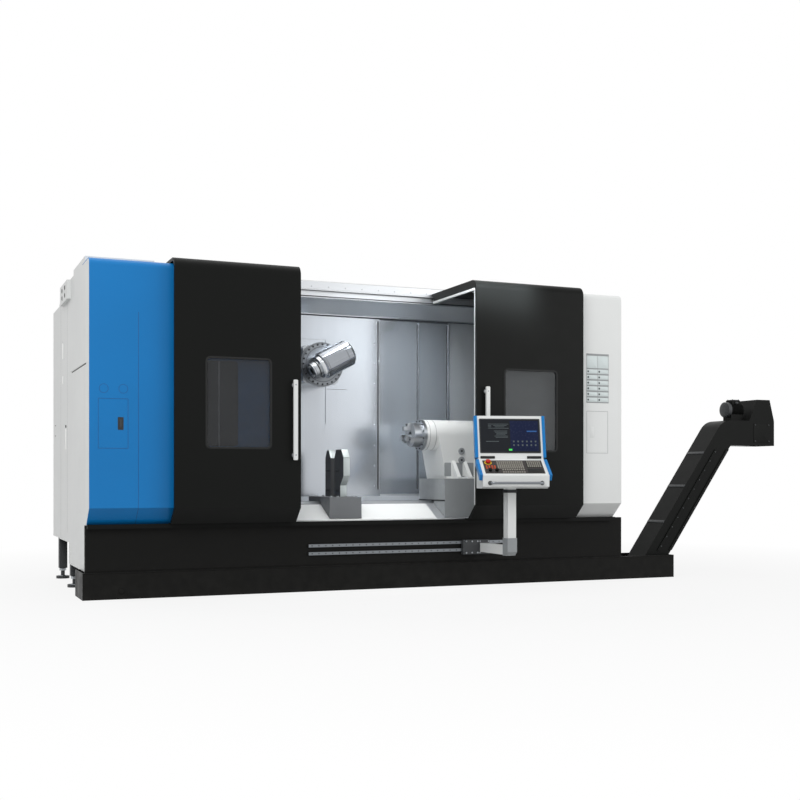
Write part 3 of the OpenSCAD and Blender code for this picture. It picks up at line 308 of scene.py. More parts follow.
def plate_at(place, w, h, t, r, edge):
    """A plate set into a local frame."""
    return placed(slab(w, h, t, r, edge), place)


def screw_at(place, d, h):
    """A cap screw's head set into a local frame."""
    return placed(cap_screw(d, h), place)


def lathe_at(place, profile, n=24):
    """A turned form set into a local frame."""
    return placed(lathe(profile, n), place)


def joined(parts):
    """Several meshes as one list of points and faces."""
    verts, faces, start = [], [], 0
    for v, f in parts:
        verts.append(v)
        faces += [[start + i for i in face] for face in f]
        start += len(v)
    return np.concatenate(verts), faces


def face_outwards(mesh):
    """Turns every face of a closed mesh outwards."""
    bm = bmesh.new()
    bm.from_mesh(mesh)
    bmesh.ops.recalc_face_normals(bm, faces=bm.faces)
    bm.to_mesh(mesh)
    bm.free()


def piece(name, parts, body, finish):
    """A new object from placed meshes, riding on a body, with its faces outwards and its true edges sharp."""
    verts, faces = joined(parts)
    mesh = bpy.data.meshes.new(name)
    mesh.from_pydata(verts.tolist(), [], faces)
    mesh.validate()
    face_outwards(mesh)
    obj = bpy.data.objects.new(name, mesh)
    bpy.context.scene.collection.objects.link(obj)
    mesh.materials.append(MATERIALS[finish])
    mesh.shade_smooth()
    mesh.set_sharp_from_angle(angle=SHARP)
    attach(obj, body)


# Finishes


def finish_base(name, metallic=0.0, specular=0.5):
    """A material whose pattern lies in the object's own metres, with its shader and texture coordinate."""
    mat = bpy.data.materials.new(name)
    mat.use_nodes = True
    tree = mat.node_tree
    shader = tree.nodes["Principled BSDF"]
    shader.inputs["Metallic"].default_value = metallic
    shader.inputs["Specular IOR Level"].default_value = specular
    coords = tree.nodes.new("ShaderNodeTexCoord").outputs["Object"]
    return mat, tree, shader, coords


def node(tree, kind, inputs, **values):
    """A node with its own values set, and each input joined to an output or given a constant."""
    made = tree.nodes.new(kind)
    for key, value in values.items():
        setattr(made, key, value)
    for socket, value in inputs:
        if hasattr(value, "is_output"):
            tree.links.new(value, made.inputs[socket])
        else:
            made.inputs[socket].default_value = value
    return made


def combined(tree, operation, first, second):
    """Two values put through one arithmetic operation."""
    return node(tree, "ShaderNodeMath", [(0, first), (1, second)], operation=operation).outputs["Value"]


def mix_colour(tree, factor, first, second):
    """Two colours mixed by a factor; the sockets are the colour ones of a node that has one set per type."""
    return node(tree, "ShaderNodeMix", [(0, factor), (6, first), (7, second)], data_type="RGBA").outputs[2]


def noise(tree, coords, scale, detail, stretch=None):
    """Fractal noise over the object; stretch scales each axis first, so streaks run along the small ones."""
    if stretch is not None:
        coords = node(tree, "ShaderNodeMapping", [("Vector", coords), ("Scale", stretch)]).outputs["Vector"]
    inputs = [("Vector", coords), ("Scale", scale), ("Detail", detail)]
    return node(tree, "ShaderNodeTexNoise", inputs).outputs["Fac"]


def spread(tree, value, low, high, start=0.3, end=0.7):
    """A value between start and end, mapped onto low to high."""
    inputs = [("Value", value), ("From Min", start), ("From Max", end), ("To Min", low), ("To Max", high)]
    return node(tree, "ShaderNodeMapRange", inputs).outputs["Result"]


def shade(tree, value, dark, light):
    """A linear colour that runs from dark to light with a noise value."""
    ramp = node(tree, "ShaderNodeValToRGB", [("Fac", value)])
    for element, place, colour in zip(ramp.color_ramp.elements, (0.3, 0.7), (dark, light)):
        element.position = place
        element.color = (*colour, 1)
    return ramp.outputs["Color"]


def linear(rgb):
    """A display colour of 0 to 255 as linear light."""
    c = np.array(rgb) / 255
    return np.where(c <= 0.04045, c / 12.92, ((c + 0.055) / 1.055) ** 2.4)


def drift(tree, value, rgb, share):
    """A display colour that is darkened and lightened by a share of itself with a noise value."""
    dark, light = (np.clip(linear(rgb) * (1 + s), 0, 1) for s in (-share, share))
    return shade(tree, value, dark, light)


def surface(tree, shader, colour, gloss):
    """Joins a colour and a roughness to a shader."""
    tree.links.new(colour, shader.inputs["Base Color"])
    tree.links.new(gloss, shader.inputs["Roughness"])


def bump(tree, shader, height, strength, distance):
    """Surface relief from a height value, in metres."""
    made = node(tree, "ShaderNodeBump", [("Height", height), ("Strength", strength), ("Distance", distance)])
    tree.links.new(made.outputs["Normal"], shader.inputs["Normal"])


def paint(name, rgb, rough, vary, peel=0.06, specular=0.5):
    """Sprayed enamel: slow drift of shade over about a metre, orange peel of about 2 mm, uneven gloss."""
    mat, tree, shader, coords = finish_base(name, specular=specular)
    gloss = spread(tree, noise(tree, coords, 9, 5), rough - 0.03, rough + 0.03)
    surface(tree, shader, drift(tree, noise(tree, coords, 1.3, 4), rgb, vary), gloss)
    bump(tree, shader, noise(tree, coords, 420, 2), peel, 0.0004)
    return mat


def floor_black(name, rgb):
    """Black enamel of the base, with pale dust that thins out over 350 mm of height above the floor."""
    mat, tree, shader, coords = finish_base(name, specular=0.08)
    height = node(tree, "ShaderNodeSeparateXYZ", [("Vector", coords)]).outputs["Z"]
    near = spread(tree, height, 1.0, 0.0, 0.0, 0.35)
    dust = combined(tree, "MULTIPLY", near, spread(tree, noise(tree, coords, 14, 6), 0.0, 0.05))
    enamel = drift(tree, noise(tree, coords, 2.0, 4), rgb, 0.05)
    colour = mix_colour(tree, dust, enamel, (0.13, 0.125, 0.115, 1))
    surface(tree, shader, colour, spread(tree, noise(tree, coords, 11, 5), 0.34, 0.52))
    bump(tree, shader, noise(tree, coords, 420, 2), 0.08, 0.0004)
    return mat


def brushed(name, rgb, rough, stretch, streak, relief, metallic=1.0):
    """Brushed steel: streaks along one axis, averaged with a broad drift, change shade and gloss together."""
    mat, tree, shader, coords = finish_base(name, metallic=metallic)
    streaks = noise(tree, coords, 1.0, 3, stretch)
    both = combined(tree, "ADD", streaks, noise(tree, coords, 1.6, 3))
    mean = combined(tree, "MULTIPLY", both, 0.5)
    surface(tree, shader, drift(tree, mean, rgb, streak), spread(tree, mean, rough - 0.04, rough + 0.05))
    bump(tree, shader, streaks, relief, 0.0003)
    return mat


def casting(name, rgb):
    """Painted iron casting: sand-grain relief of a few millimetres under a soft coat."""
    mat, tree, shader, coords = finish_base(name)
    gloss = spread(tree, noise(tree, coords, 20, 5), 0.47, 0.63)
    surface(tree, shader, drift(tree, noise(tree, coords, 3, 5), rgb, 0.1), gloss)
    bump(tree, shader, noise(tree, coords, 160, 5), 0.25, 0.0008)
    return mat


def smoked_glass(name):
    """Tinted safety glass: dark see-through body with faint wiping smears in its gloss."""
    mat, tree, shader, coords = finish_base(name, specular=0.25)
    smear = noise(tree, coords, 1.0, 4, (3, 3, 18))
    colour = shade(tree, smear, (0.25, 0.26, 0.27), (0.28, 0.29, 0.30))
    surface(tree, shader, colour, spread(tree, smear, 0.03, 0.09))
    shader.inputs["Transmission Weight"].default_value = 0.9
    shader.inputs["IOR"].default_value = 1.22
    return mat


def moulded(name, rgb, rough, glow=0.0, specular=0.3):
    """Moulded plastic: fine spark-eroded grain and slightly uneven gloss; glow lights a display field."""
    mat, tree, shader, coords = finish_base(name, specular=specular)
    gloss = spread(tree, noise(tree, coords, 60, 3), rough - 0.05, rough + 0.05)
    surface(tree, shader, drift(tree, noise(tree, coords, 30, 3), rgb, 0.05), gloss)
    bump(tree, shader, noise(tree, coords, 1800, 2), 0.08, 0.0001)
    if glow:
        shader.inputs["Emission Color"].default_value = (*linear(rgb), 1)
        shader.inputs["Emission Strength"].default_value = glow
    return mat


MATERIALS = {
    "blue": paint("blue_enamel", (8, 116, 184), 0.36, 0.04, 0.05, 0.3),
    "blue_line": paint("blue_joint", (10, 74, 130), 0.5, 0.08),
    "white": paint("white_enamel", (222, 224, 223), 0.36, 0.025),
    "bright": paint("bright_enamel", (248, 248, 247), 0.3, 0.01),
    "grey_line": paint("grey_joint", (150, 153, 154), 0.55, 0.06),
    "black": paint("black_enamel", (20, 21, 20), 0.4, 0.04, 0.05, 0.08),
    "base": floor_black("base_enamel", (22, 22, 21)),
    "graphite": paint("graphite_enamel", (58, 60, 62), 0.42, 0.06, 0.1, 0.35),
    "sheet": brushed("cabin_sheet", (206, 209, 212), 0.3, (1.5, 1.5, 260), 0.02, 0.008, 0.75),
    "wall": brushed("wall_sheet", (188, 193, 199), 0.2, (260, 1.5, 1.5), 0.03, 0.012, 0.85),
    "ground": brushed("ground_steel", (168, 172, 176), 0.3, (220, 220, 3), 0.06, 0.06),
    "polished": brushed("polished_steel", (204, 207, 211), 0.12, (40, 40, 40), 0.03, 0.01),
    "sleeve": brushed("sleeve_steel", (158, 162, 168), 0.1, (40, 40, 40), 0.03, 0.01),
    "disc": brushed("disc_steel", (122, 126, 130), 0.3, (60, 60, 60), 0.05, 0.03),
    "cast": casting("grey_casting", (140, 144, 146)),
    "dark_cast": casting("dark_casting", (104, 107, 110)),
    "glass": smoked_glass("smoked_glass"),
    "screen": moulded("screen_glass", (20, 24, 30), 0.16, 0.0, 0.2),
    "keypad": moulded("keypad_plate", (52, 47, 46), 0.5),
    "red": moulded("red_button", (190, 32, 24), 0.35),
    "rubber": moulded("black_rubber", (22, 23, 23), 0.62),
    "dark": moulded("dark_plastic", (44, 46, 48), 0.5),
    "key": moulded("pale_key", (150, 147, 138), 0.5),
    "orange": moulded("orange_key", (206, 84, 42), 0.5),
    "yellow": moulded("yellow_ring", (222, 178, 30), 0.5),
    "navy": moulded("navy_field", (16, 25, 54), 0.25, 0.1, 0.15),
    "azure": moulded("azure_field", (50, 92, 150), 0.25, 0.1, 0.15),
    "pale": moulded("pale_field", (84, 92, 94), 0.25, 0.1, 0.15),
    "green": moulded("green_lamp", (60, 190, 80), 0.25, 0.6),
    "plate": brushed("bare_plate", (178, 186, 186), 0.4, (1.5, 200, 200), 0.05, 0.03, 0.35),
}

NODE_FINISH = {
    "blue": "left_cover left_hatch panel_trim",
    "white": "right_cover right_hatch left_end_panel right_end_panel rear_housing roof_panel roof_boxes "
             "chip_floor tailstock_body left_handle right_handle pendant_arm panel_housing",
    "black": "left_door right_door door_tracks conveyor_housing conveyor_motor feed_knob speed_knob",
    "base": "chip_tray base_skirt",
    "graphite": "levelling_feet steady_arms pendant_carriage",
    "sheet": "inner_walls wall_guides header_beam",
    "wall": "wall_shield wall_plate_right_1 wall_plate_right_2 wall_plate_left_1 wall_plate_left_2 "
            "slot_plate",
    "ground": "guide_ways main_spindle chuck_body chuck_jaws ram spindle_nose tail_chuck tail_jaws",
    "polished": "spindle_housing",
    "disc": "swivel_disc pendant_rails panel_handle",
    "cast": "bed headstock column head_slide tailstock_base",
    "dark_cast": "steady_base",
    "glass": "left_window right_window",
    "screen": "panel_screen",
    "keypad": "panel_keypad",
    "red": "estop_button",
}


def dress_nodes():
    """Gives each solid its finish."""
    for finish, names in NODE_FINISH.items():
        for name in names.split():
            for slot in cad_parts[name].material_slots:
                slot.material = MATERIALS[finish]


# Front covers, hatches and end panels


def cover_joints():
    """Joint lines of the covers: the blue cover's upright seam down its front and bevel, the rims of its two
    plugs, and the outlines of both hatches."""
    seam_x, seam_top, bend, foot, foot_in = 368, 2205, 707, 572, 150
    drop = math.hypot(bend - foot, foot_in)
    dy, dz = foot_in / drop, (foot - bend) / drop
    bevel = Place((seam_x, foot_in / 2, (bend + foot) / 2), (1, 0, 0), (0, -dy, -dz), (0, dz, -dy))

    def hatch_outline(x):
        """The thin line round a hatch."""
        return placed(ring_slab(226, 381, 4, 2.5, 0.8), front(x, HATCH_Z))

    lines = [plate_at(front(seam_x, (seam_top + bend) / 2), 3.5, seam_top - bend, 0.7, 0.5, 0.3),
             plate_at(bevel, 3.5, drop - 4, 0.7, 0.5, 0.3), hatch_outline(178.5)]
    lines += [placed(flat_ring(32, 35, 0.9), front(x, 1615)) for x in (108, 254)]
    piece("left_cover_joints", lines, "machine", "blue_line")
    piece("right_cover_joints", [hatch_outline(4482.5)], "machine", "grey_line")


def turn_latch():
    """The left hatch's turn latch: a cup with a rounded rim, a thumb lever across it and its pivot screw."""
    x = LEFT_LATCH_X
    cup = [plate_at(front(x, HATCH_Z, 2), 41, 95, 2.6, 5, 0.8),
           placed(ring_slab(43, 97, 6, 4, 1.0), front(x, HATCH_Z, 0.2))]
    piece("left_latch", cup, "left_hatch_body", "dark")
    lever = [plate_at(front(x, HATCH_Z, -0.6), 15, 62, 3.5, 6, 1.5),
             screw_at(front(x, HATCH_Z + 18, -4.0), 9, 1.5)]
    piece("left_latch_lever", lever, "left_hatch_body", "graphite")


def latch_cap():
    """The white cap over the right hatch's latch."""
    cap = plate_at(front(RIGHT_LATCH_X, HATCH_Z, 2), 43, 97, 2.2, 4, 0.6)
    piece("right_latch_cap", [cap], "right_hatch_body", "white")


def bare_plates():
    """Small bare plates on the right cover: a double head plate over six rows of two, on a backing."""
    x0, high, w, h = 4369, 2058, 233, 440
    mid, plate_w = x0 + w / 2, w / 2 - 4
    fields, marks = [], []
    for x in (x0 + w * 0.25, x0 + w * 0.75):
        fields.append(plate_at(front(x, high - 74), plate_w, 112, 1.2, 3, 0.4))
        for z in high - 160 - 51 * np.arange(6):
            fields.append(plate_at(front(x, z), plate_w, 38, 1.2, 3, 0.4))
            marks.append(plate_at(front(x - plate_w / 2 + 15, z, -1.2), 15, 16, 0.5, 3, 0.2))
    backing = [plate_at(front(mid, high - 6), w + 6, 14, 1.0, 3, 0.4),
               plate_at(front(mid, high - h / 2 - 4), w + 4, h, 0.5, 4, 0.2)]
    piece("plate_fields", fields, "machine", "plate")
    piece("plate_marks", marks, "machine", "dark")
    piece("plate_backing", backing, "machine", "grey_line")


def end_panel_fittings(name, side):
    """An end panel's lift-out strips and pull bar, its pin and hinge leaves, its joint lines and the shadow
    in its long slot; side is -1 at the left end and 1 at the right."""
    face, x0 = (left, 0) if side < 0 else (right, CABIN_W)

    def on(y, z, inset=0.0):
        """A frame on the panel, let in by a distance."""
        return face(x0 - side * inset, y, z)

    strips = [plate_at(on(1610, 2050), 26, 140, 5, 8, 2.5), plate_at(on(1605, 1795), 26, 72, 5, 8, 2.5),
              plate_at(on(1390, 1268), 34, 182, 7, 10, 3.5)]
    piece(name + "_strips", strips, "machine", "bright")
    pins = [lathe_at(on(1390, 1382), [(13, 0), (13, 4), (9, 6), (0.2, 6.4)])]
    pins += [plate_at(on(2300, z, 15), 44, 7, 2, 2, 0.8) for z in (1425, 1330)]
    piece(name + "_pins", pins, "machine", "dark")
    lines = [plate_at(on(y, z), w, h, 0.6, 0.4, 0.2)
             for y, z, w, h in ((1300, 1500, 2.5, 2060), (1760, 1440, 2.5, 2060), (1610, 2132, 30, 2.5))]
    piece(name + "_joints", lines, "machine", "grey_line")
    piece(name + "_slot_shadow", [plate_at(on(589, 1815, 2.9), 850, 9, 0.5, 3, 0.2)], "machine", "rubber")


def roof_box_entries():
    """Dark rubber grommets in the cable box's four entries."""
    y0, z0, w, h = 1083, 2440, 483, 160
    grommet = [(21.5, 0), (21.5, 6), (17, 8), (13, 4), (0.2, 3)]
    made = [lathe_at(left(-24, y0 + a * w, z0 + b * h), grommet) for a in (0.3, 0.7) for b in (0.3, 0.7)]
    piece("cable_grommets", made, "machine", "rubber")


def rear_cabinet():
    """Locks and hinges of the four cabinet doors at the rear, and the filter mats behind their louvres."""
    wall, doors = 21, 4
    pitch = (CABIN_W - 2 * wall) / doors
    mats, locks, hinges = [], [], []
    for k in range(doors):
        mid = wall + (k + 0.5) * pitch
        edge = mid + pitch / 2 - 70
        mats.append(plate_at(back(mid, 767, CABIN_DEPTH - 14), 290, 330, 5, 6, 1))
        locks.append(plate_at(back(edge, 1450, CABIN_DEPTH), 34, 150, 9, 8, 3))
        locks.append(lathe_at(back(edge, 1490, CABIN_DEPTH + 9), [(9, 0), (9, 4), (6, 5), (0.2, 5)], 16))
        for z in (640, 1450, 2260):
            hinges.append(placed(bar((0, -45, 5), (0, 45, 5), 6), back(mid - pitch / 2 + 16, z, CABIN_DEPTH)))
    piece("cabinet_filter_mats", mats, "machine", "rubber")
    piece("cabinet_locks", locks, "machine", "dark")
    piece("cabinet_hinges", hinges, "machine", "ground")


# Doors


def door_dress(name, door, side):
    """A door's window seal, the white profile and rubber lip along its leading edge, its roller covers and
    its handle's washers and screws; side says which way the door lies from that edge, -1 to the left."""
    x0, w = door
    body, mid = name + "_body", x0 + w / 2
    lead = x0 + w if side < 0 else x0
    x = lead + side * 10

    def leading(x, y):
        """A frame behind the leading edge: y up, z to the rear."""
        return Place((x, y, 1630), (1, 0, 0), (0, 0, 1), (0, 1, 0))

    seal = placed(ring_slab(534, 719, 40, 15, 3.5), front(mid, WINDOW_Z, DOOR_FACE))
    piece(name + "_window_seal", [seal], body, "rubber")
    under_roof = Place((x, 367, 2566), (1, 0, 0), (0, 1, 0), (0, 0, -1))
    profile = [plate_at(leading(x, -74), 20, 1850, 18, 2, 1.5), plate_at(under_roof, 20, 845, 18, 2, 1.5)]
    piece(name + "_closing_profile", profile, body, "white")
    piece(name + "_sealing_lip", [plate_at(leading(x - side * 2, -56), 7, 1850, 10, 3, 3)], body, "rubber")
    covers = [plate_at(top(mid + s * w * 0.36, 40, 585), 120, 20, 2.5, 5, 1) for s in (-1, 1)]
    piece(name + "_roller_covers", covers, body, "graphite")
    handle_x = lead + side * (58 if side < 0 else 89)
    washers = []
    for z in (1118.5, 1677.5):
        washers.append(placed(flat_ring(12.2, 19, 3), front(handle_x, z, DOOR_FACE)))
        washers.append(screw_at(front(handle_x, z, DOOR_FACE - 50), 12, 2.5))
    piece(name + "_handle_washers", washers, body, "ground")


def port_shade_pane():
    """The dark pane that closes the port in the blue cover behind the left door's window: painted shade, an
    opaque dark sheet that stands in for the shaded cabin seen through the port.
    """
    # painted shade: this opaque dark pane stands in for the shaded cabin behind the port
    piece("cover_port_shade_pane", [plate_at(front(990, WINDOW_Z, 11), 340, 690, 4, 30, 1)], "machine", "screen")


def door_lining(name, door):
    """The bright inner sheet of a door, with the window's hole in it and a row of rivets along its foot."""
    x0, w = door
    body, low, high, y = name + "_body", 740, 2480, -72
    mid_z = (low + high) / 2
    sheet = framed_sheet(w - 90, high - low, 540, 725, WINDOW_Z - mid_z, 2)
    piece(name + "_lining", [placed(sheet, back(x0 + w / 2, mid_z, y))], body, "sheet")
    rivets = [lathe_at(back(x, low + 30, y + 2), [(6, 0), (5, 1.5), (2.5, 2.3), (0.2, 2.4)], 16)
              for x in np.linspace(x0 + 80, x0 + w - 80, 8)]
    piece(name + "_lining_rivets", rivets, body, "ground")


# Cabin


def header_dress():
    """The header's facing strip, its bright folds and shadow joints at the fascia's foot and at the soffit's
    rear edge, and its row of screws."""
    mid = HEADER_X + HEADER_L / 2

    def run(y, z, r):
        """A bar along the whole header."""
        return placed(bar((0, 0, 0), (HEADER_L, 0, 0), r), top(HEADER_X, y, z))

    facing = plate_at(front(mid, 2606, FASCIA_Y - 30), HEADER_L, 9, 1.2, 0.5, 0.4)
    piece("upper_track_facing", [facing], "machine", "sheet")
    piece("header_folds", [run(822, 2540, 5), run(1040, 2427, 6)], "machine", "polished")
    joints = [plate_at(front(mid, 2553, FASCIA_Y), HEADER_L, 9, 0.8, 1, 0.3), run(1042, 2417, 3.5)]
    piece("header_joints", joints, "machine", "graphite")
    screws = [lathe_at(front(x, 2640, FASCIA_Y), [(6, 0), (6, 1), (4, 2), (0.2, 2.2)], 16)
              for x in np.linspace(1080, 4120, 20)]
    piece("header_screws", screws, "machine", "ground")


def wall_dress():
    """Rolled edges and shadow joints of the travelling wall sheets, and the flat screws of the front and
    fixed sheets."""
    low, high = 832, 2392

    def roll(x, y, r):
        """An upright rolled edge."""
        return placed(bar((0, 0, low), (0, 0, high), r), top(x, y + r / 2))

    def joint(x, y, w):
        """An upright shadow joint."""
        return plate_at(front(x, (low + high) / 2, y), w, high - low, 0.8, 1, 0.3)

    def screws(x, y):
        """A column of flat screws."""
        head = [(7, 0), (7, 0.8), (5, 2), (0.2, 2.3)]
        return [lathe_at(front(x, z, y), head, 16) for z in np.linspace(860, 2380, 9)]

    piece("shield_rolls", [roll(2780, WALL_Y, 6), roll(2754, WALL_Y, 4)], "column_body", "polished")
    joints = [joint(2766, WALL_Y, 15)]
    joints += [plate_at(front(HEAD[0] + s * 288, 1748, WALL_Y), 198, 3, 0.6, 1, 0.2) for s in (-1, 1)]
    piece("shield_joints", joints, "column_body", "graphite")
    piece("shield_screws", screws(2730, WALL_Y), "column_body", "ground")
    for name, edge, lip, face in (("plate_right_1", 3192, 1054, 1066), ("plate_right_2", 3506, 1062, 1074)):
        piece(name + "_roll", [roll(edge - 6, lip, 5)], name + "_body", "polished")
        piece(name + "_joint", [joint(edge - 19, face, 12)], name + "_body", "graphite")
    piece("fixed_sheet_screws", screws(4150, 1082), "machine", "ground")


# Milling head


def swivel_bolts():
    """Twenty-four cap screws seated round the swivel disc, and its two joint rings."""
    x, y, z = HEAD
    heads = [screw_at(front(x + dx, z + dz, y + 6), 15, 9) for dx, dz in around(174, 24)]
    piece("swivel_cap_screws", heads, "swivel_body", "dark")
    rings = [placed(flat_ring(r0, r1, 0.8), front(x, z, y)) for r0, r1 in ((150, 154), (184, 186.5))]
    piece("swivel_joint_rings", rings, "swivel_body", "graphite")


def tool_spindle_dress():
    """The tool spindle's smooth sleeve, rim bands, nose collar and rear screws, and the rotating nose's face
    screws, drive keys and grooves."""
    axis, rear = tool_frame(0), tool_frame(TOOL_REAR)

    def band(r, low, high, depth=2.0):
        """A band round the tool spindle."""
        return placed(ring([(r - depth, low), (r, low), (r, high), (r - depth, high)]), axis)

    sleeve = ring([(115.2, -66.5), (116.3, -65.5), (116.3, 196.5), (115.2, 197.5)], 128)
    piece("spindle_sleeve", [placed(sleeve, axis)], "swivel_body", "sleeve")
    bands = [band(117, low, high) for low, high in ((-62, -58), (-46, -43), (150, 153))]
    piece("spindle_rim_bands", bands, "swivel_body", "graphite")
    piece("spindle_nose_collar", [band(97.5, -96, -78, 6)], "swivel_body", "ground")
    caps = [placed(moved(cap_screw(15, 5), (x, y, 0)), rear) for x, y in around(62, 6, 30)]
    piece("spindle_rear_screws", caps, "swivel_body", "dark")
    face = [placed(moved(cap_screw(12, 4), (x, y, NOSE_FACE), -1), axis) for x, y in around(56, 6)]
    piece("nose_face_screws", face, "tool_spindle_body", "dark")
    keys = [placed(moved(slab(16, 22, 9, 2, 1.5), (x, 0, NOSE_FACE), -1), axis) for x in (-43, 43)]
    piece("nose_drive_keys", keys, "tool_spindle_body", "ground")
    piece("nose_groove", [band(70.5, -128, -118), band(70.5, -158, -155)], "tool_spindle_body", "rubber")


# Spindle line


def chuck_screws(name, body, x, out, rows, d):
    """Cap screws on the jaws and faces of a chuck. Each row is a radius, a count, a start angle and a place
    along the axis, and out is the way that the face looks."""
    made = [placed(moved(cap_screw(d, d * 0.6), (across, up, face), out), right(x, *AXIS))
            for r, count, start, face in rows for across, up in around(r, count, start + 90)]
    piece(name, made, body, "dark")


def tailstock_dress():
    """The tailstock's fields between its ribs, foot pads with clamp screws, boss caps with plugs, the quill's
    joint rings and the wiper along its foot."""
    body, feet, boss_x, bosses = "tailstock_carriage", (202, 312, 420, 540), TAIL_X + 225, (1095, 1175)
    fields = [plate_at(front(TAIL_X + x, 1012, TAIL_FACE), w, 120, 1.5, 8, 0.6)
              for x, w in ((202, 70), (312, 70), (92, 66))]
    piece("tailstock_fields", fields, body, "cast")
    pads = [plate_at(top(TAIL_X + x, 222, TAIL_TOP), 64, 60, 12, 6, 3) for x in feet]
    piece("tailstock_pads", pads, body, "white")
    screws = [screw_at(top(TAIL_X + x, 222, TAIL_TOP + 12), 26, 12) for x in feet]
    piece("tailstock_clamp_screws", screws, body, "ground")
    small_cap = [(24, 0), (24, 3), (20, 5), (8, 5), (6, 3), (0.2, 3)]
    large_cap = [(30, 0), (30, 9), (27, 12), (12, 12), (10, 8), (0.2, 8)]
    caps = [lathe_at(front(TAIL_X + 430, TAIL_TOP + up, TAIL_FACE - 14), small_cap) for up in (150, 240)]
    caps += [lathe_at(front(boss_x, z, TAIL_FACE), large_cap) for z in bosses]
    piece("tailstock_boss_caps", caps, body, "cast")
    plugs = [screw_at(front(boss_x, z, TAIL_FACE - 8), 18, 5) for z in bosses]
    piece("tailstock_boss_plugs", plugs, body, "dark")
    rings = [placed(ring([(135, 0), (136, 0), (136, 4), (135, 4)]), right(x, *AXIS)) for x in (2962, 3020)]
    piece("quill_joint_rings", rings, body, "grey_line")
    foot = Place((TAIL_X - 0.2, 443, 740), (0, 1, 0), (0, 0, 1), (-1, 0, 0))
    piece("tailstock_wiper", [plate_at(foot, 547, 10, 4, 2, 1)], body, "rubber")


def edge_plate(x, low, high, w, t):
    """A plate on a face that runs along x, between two places given as y and z; it stands to their left."""
    (y0, z0), (y1, z1) = low, high
    length = math.hypot(y1 - y0, z1 - z0)
    dy, dz = (y1 - y0) / length, (z1 - z0) / length
    place = Place((x, (y0 + y1) / 2, (z0 + z1) / 2), (1, 0, 0), (0, dy, dz), (0, -dz, dy))
    return plate_at(place, w, length - 2, t, 2, 0.6)


def steady_dress():
    """Clamp screws on the steady's base, dowel screws through its arms, and the ground edges of the arms."""
    body = "steady_carriage"
    screws = [screw_at(top(STEADY_X + x, y, STEADY_TOP), 22, 10)
              for x in (34, 92, 226, 262) for y in (230, 600)]
    piece("steady_clamp_screws", screws, body, "ground")
    dowels = [screw_at(left(STEADY_X + 131.9, y, z), 20, 6)
              for y in (330, 370, 560, 610) for z in (830, 1000)]
    piece("steady_arm_screws", dowels, body, "graphite")
    front_arm = [(279, STEADY_TOP), (279, 874), (200, 953), (200, 1107), (250, 1177), (383, 1177)]
    rear_arm = [(520, 1107), (570, 1177), (615, 1177)]
    edges = [edge_plate(STEADY_X + 161, low, high, 56, 1.5)
             for arm in (front_arm, rear_arm) for low, high in zip(arm, arm[1:])]
    piece("steady_arm_edges", edges, body, "plate")


# Pendant


def key_block(x_span, along_span, columns, rows, w, h, out=PAD_OUT):
    """A block of raised keys at equal steps over two spans of the keypad's slope."""
    return [plate_at(keypad_face(x, along, out), w, h, 3.2, 2.2, 1.2)
            for x in np.linspace(*x_span, columns) for along in np.linspace(*along_span, rows)]


def panel_keys():
    """The keypad's rows of keys, its dark fields, the stop button's ring and the rotary switches' dials."""
    body, knobs_along, tick_r = "panel_body", 190, 21
    pale = key_block((-128, 78), (52, 150), 13, 6, 12.5, 12)
    pale += key_block((124, 226), (50, 128), 7, 5, 11.5, 12, 4.2)
    pale += key_block((-96, 78), (176, 212), 10, 2, 13, 14)
    piece("panel_keys", pale, body, "key")
    piece("panel_warm_keys", key_block((-226, -158), (118, 154), 4, 3, 13, 11), body, "orange")
    fields = [plate_at(keypad_face(175, 89), 126, 104, 1.2, 4, 0.5),
              plate_at(keypad_face(173, 190), 130, 62, 1.2, 4, 0.5)]
    piece("panel_dark_fields", fields, body, "rubber")
    piece("stop_ring", [placed(flat_ring(21.5, 31, 1.4), keypad_face(-205, 66))], body, "yellow")
    dials, ticks = [], []
    for x in (-205, -150):
        dials.append(placed(flat_ring(16.5, 25, 0.6), keypad_face(x, knobs_along)))
        for a in np.radians(np.arange(-135, 136, 27)):
            place = keypad_face(x + tick_r * math.sin(a), knobs_along - tick_r * math.cos(a), PAD_OUT + 0.6)
            ticks.append(plate_at(place, 1.6, 1.6, 0.3, 0.4, 0.1))
    piece("switch_dials", dials, body, "dark")
    piece("switch_ticks", ticks, body, "key")


def screen_fields():
    """A plain display: a dark half with pale value lines, a blue half with a bar and two rows of icons, a
    lamp, and the screen's bezel and hinge blocks."""
    body, glass, over = "panel_body", 3.0, 3.3

    def field(x, along, w, h, out=glass):
        """A thin field on the screen."""
        return plate_at(screen_face(x, along, out), w, h, 0.35, 1.5, 0.12)

    piece("screen_blue_half", [field(122, 198, 240, 262)], body, "navy")
    piece("screen_bar", [field(186, 238, 84, 11, over)], body, "azure")
    lines = []
    for row in range(4):
        lines.append(field(-170, 300 - row * 12, 28, 4))
        lines.append(field(-86 + 3 * (row % 2), 300 - row * 12, 150 - 34 * (row % 3), 4))
    for row in range(6):
        lines.append(field(-78 + 4 * (row % 3), 240 - row * 11, 116 - 12 * (row * 5 % 4), 4))
    lines.append(field(-150, 150, 110, 5))
    lines += [field(30 + col * 37, 118 + row * 32, 13, 14, over) for row in range(2) for col in range(6)]
    piece("screen_value_lines", lines, body, "pale")
    piece("screen_lamp", [field(0, 78, 28, 15, over)], body, "green")
    piece("screen_bezel", [placed(ring_slab(517, 298, 9, 9.5, 4.2), screen_face(0, 198))], body, "dark")
    blocks = [plate_at(screen_face(x, 13), 122, 21, 7, 4, 2) for x in (-197, 197)]
    piece("screen_hinge_blocks", blocks, body, "rubber")


